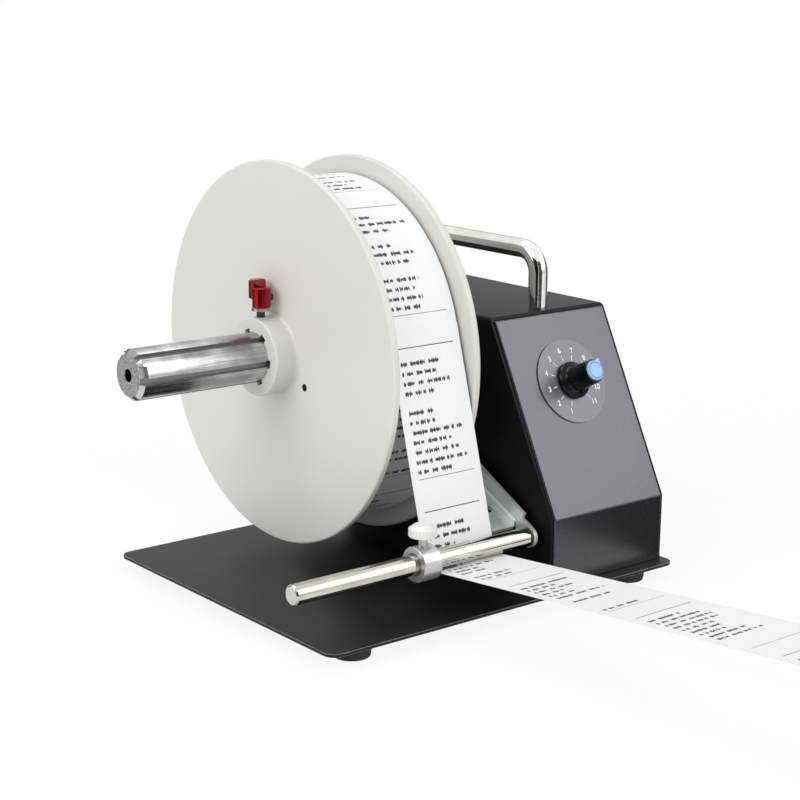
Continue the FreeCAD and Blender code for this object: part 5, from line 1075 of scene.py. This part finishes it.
def pan_head(radius, height):
    """A screw head that stands on z = 0 and points up."""
    bpy.ops.object.select_all(action="DESELECT")
    bpy.ops.mesh.primitive_cylinder_add(vertices=40, radius=radius, depth=height,
                                        location=(0, 0, height / 2.0))
    head = made("pan_head")
    edit(head)
    pick(head, "EDGE", lambda e: all(v.co.z > height * 0.9 for v in e.verts)
         and all(v.co.xy.length > radius * 0.9 for v in e.verts))
    bpy.ops.mesh.bevel(offset=height * 0.55, segments=6, affect="EDGES")
    leave()
    cutters = []
    for turn in (0.0, math.pi / 2.0):
        bpy.ops.object.select_all(action="DESELECT")
        bpy.ops.mesh.primitive_cube_add(size=1.0, location=(0, 0, height),
                                        rotation=(0, 0, turn))
        bar = made("cross_bar")
        bar.data.transform(Matrix.Rotation(-turn, 4, "Z"))
        bar.data.transform(Matrix.Translation((0, 0, -height)))
        bar.data.transform(Matrix.Diagonal((radius * 1.05, radius * 0.26, height * 1.1, 1.0)))
        for vertex in bar.data.vertices:
            if vertex.co.z < 0:
                vertex.co.x *= 0.55
        bar.data.transform(Matrix.Rotation(turn, 4, "Z"))
        bar.data.transform(Matrix.Translation((0, 0, height)))
        cutters.append(bar)
    for bar in cutters:
        cut = head.modifiers.new("cross", "BOOLEAN")
        cut.operation = "DIFFERENCE"
        cut.solver = "EXACT"
        cut.object = bar
        apply_all(head)
    for bar in cutters:
        bpy.data.objects.remove(bar)
    smooth(head, 30)
    return head


# %% Place the heads

def screw_places(node):
    """Middle, low corner and high corner of each screw of a node, found from its loose parts."""
    mesh = bmesh.new()
    mesh.from_mesh(nodes[node].data)
    bmesh.ops.remove_doubles(mesh, verts=mesh.verts, dist=0.001 * MM)
    waiting = set(mesh.verts)
    found = []
    while waiting:
        group = {waiting.pop()}
        front = list(group)
        while front:
            vertex = front.pop()
            for edge in vertex.link_edges:
                other = edge.other_vert(vertex)
                if other in waiting:
                    waiting.discard(other)
                    group.add(other)
                    front.append(other)
        low = Vector([min(v.co[i] for v in group) for i in range(3)])
        high = Vector([max(v.co[i] for v in group) for i in range(3)])
        found.append(((low + high) / 2.0, low, high))
    mesh.free()
    return found


def screws(name, node, direction, radius, height, shank):
    """Copies of one head, with shanks, in place of a node's screws. The direction is outwards."""
    pattern = pan_head(radius, height)
    way = Vector(direction)
    turn = way.to_track_quat("Z", "Y").to_matrix().to_4x4()
    copies = []
    for centre, low, high in screw_places(node):
        outer = Vector([high[i] if way[i] > 0.5 else low[i] if way[i] < -0.5 else centre[i]
                        for i in range(3)])
        length = abs((high - low).dot(way))
        bpy.ops.object.select_all(action="DESELECT")
        bpy.ops.mesh.primitive_cylinder_add(vertices=24, radius=shank, depth=length - height,
                                            location=(0, 0, -(length - height) / 2.0))
        stem = made("shank")
        copy = pattern.copy()
        copy.data = pattern.data.copy()
        bpy.context.scene.collection.objects.link(copy)
        spin = Matrix.Rotation(random.uniform(0.0, math.pi / 2.0), 4, "Z")
        put = Matrix.Translation(outer - way * height) @ turn @ spin
        copy.data.transform(put)
        stem.data.transform(put)
        copies += [copy, stem]
    bpy.data.objects.remove(pattern)
    done = joined(copies, name, plated_steel)
    smooth(done, 30)
    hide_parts(node)
    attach(done, "machine")
    print(name, len(copies) // 2, "screws")


screws("rear_panel_screws", "panel_screws", (0, 1, 0), 2.75 * MM, 1.8 * MM, 1.5 * MM)
screws("base_plate_screws", "base_screws", (0, 0, -1), 2.75 * MM, 1.8 * MM, 1.5 * MM)
screws("foot_fixing_screws", "foot_screws", (0, 0, -1), 3.6 * MM, 2.4 * MM, 2.0 * MM)

# %% The end
bpy.ops.object.select_all(action="DESELECT")
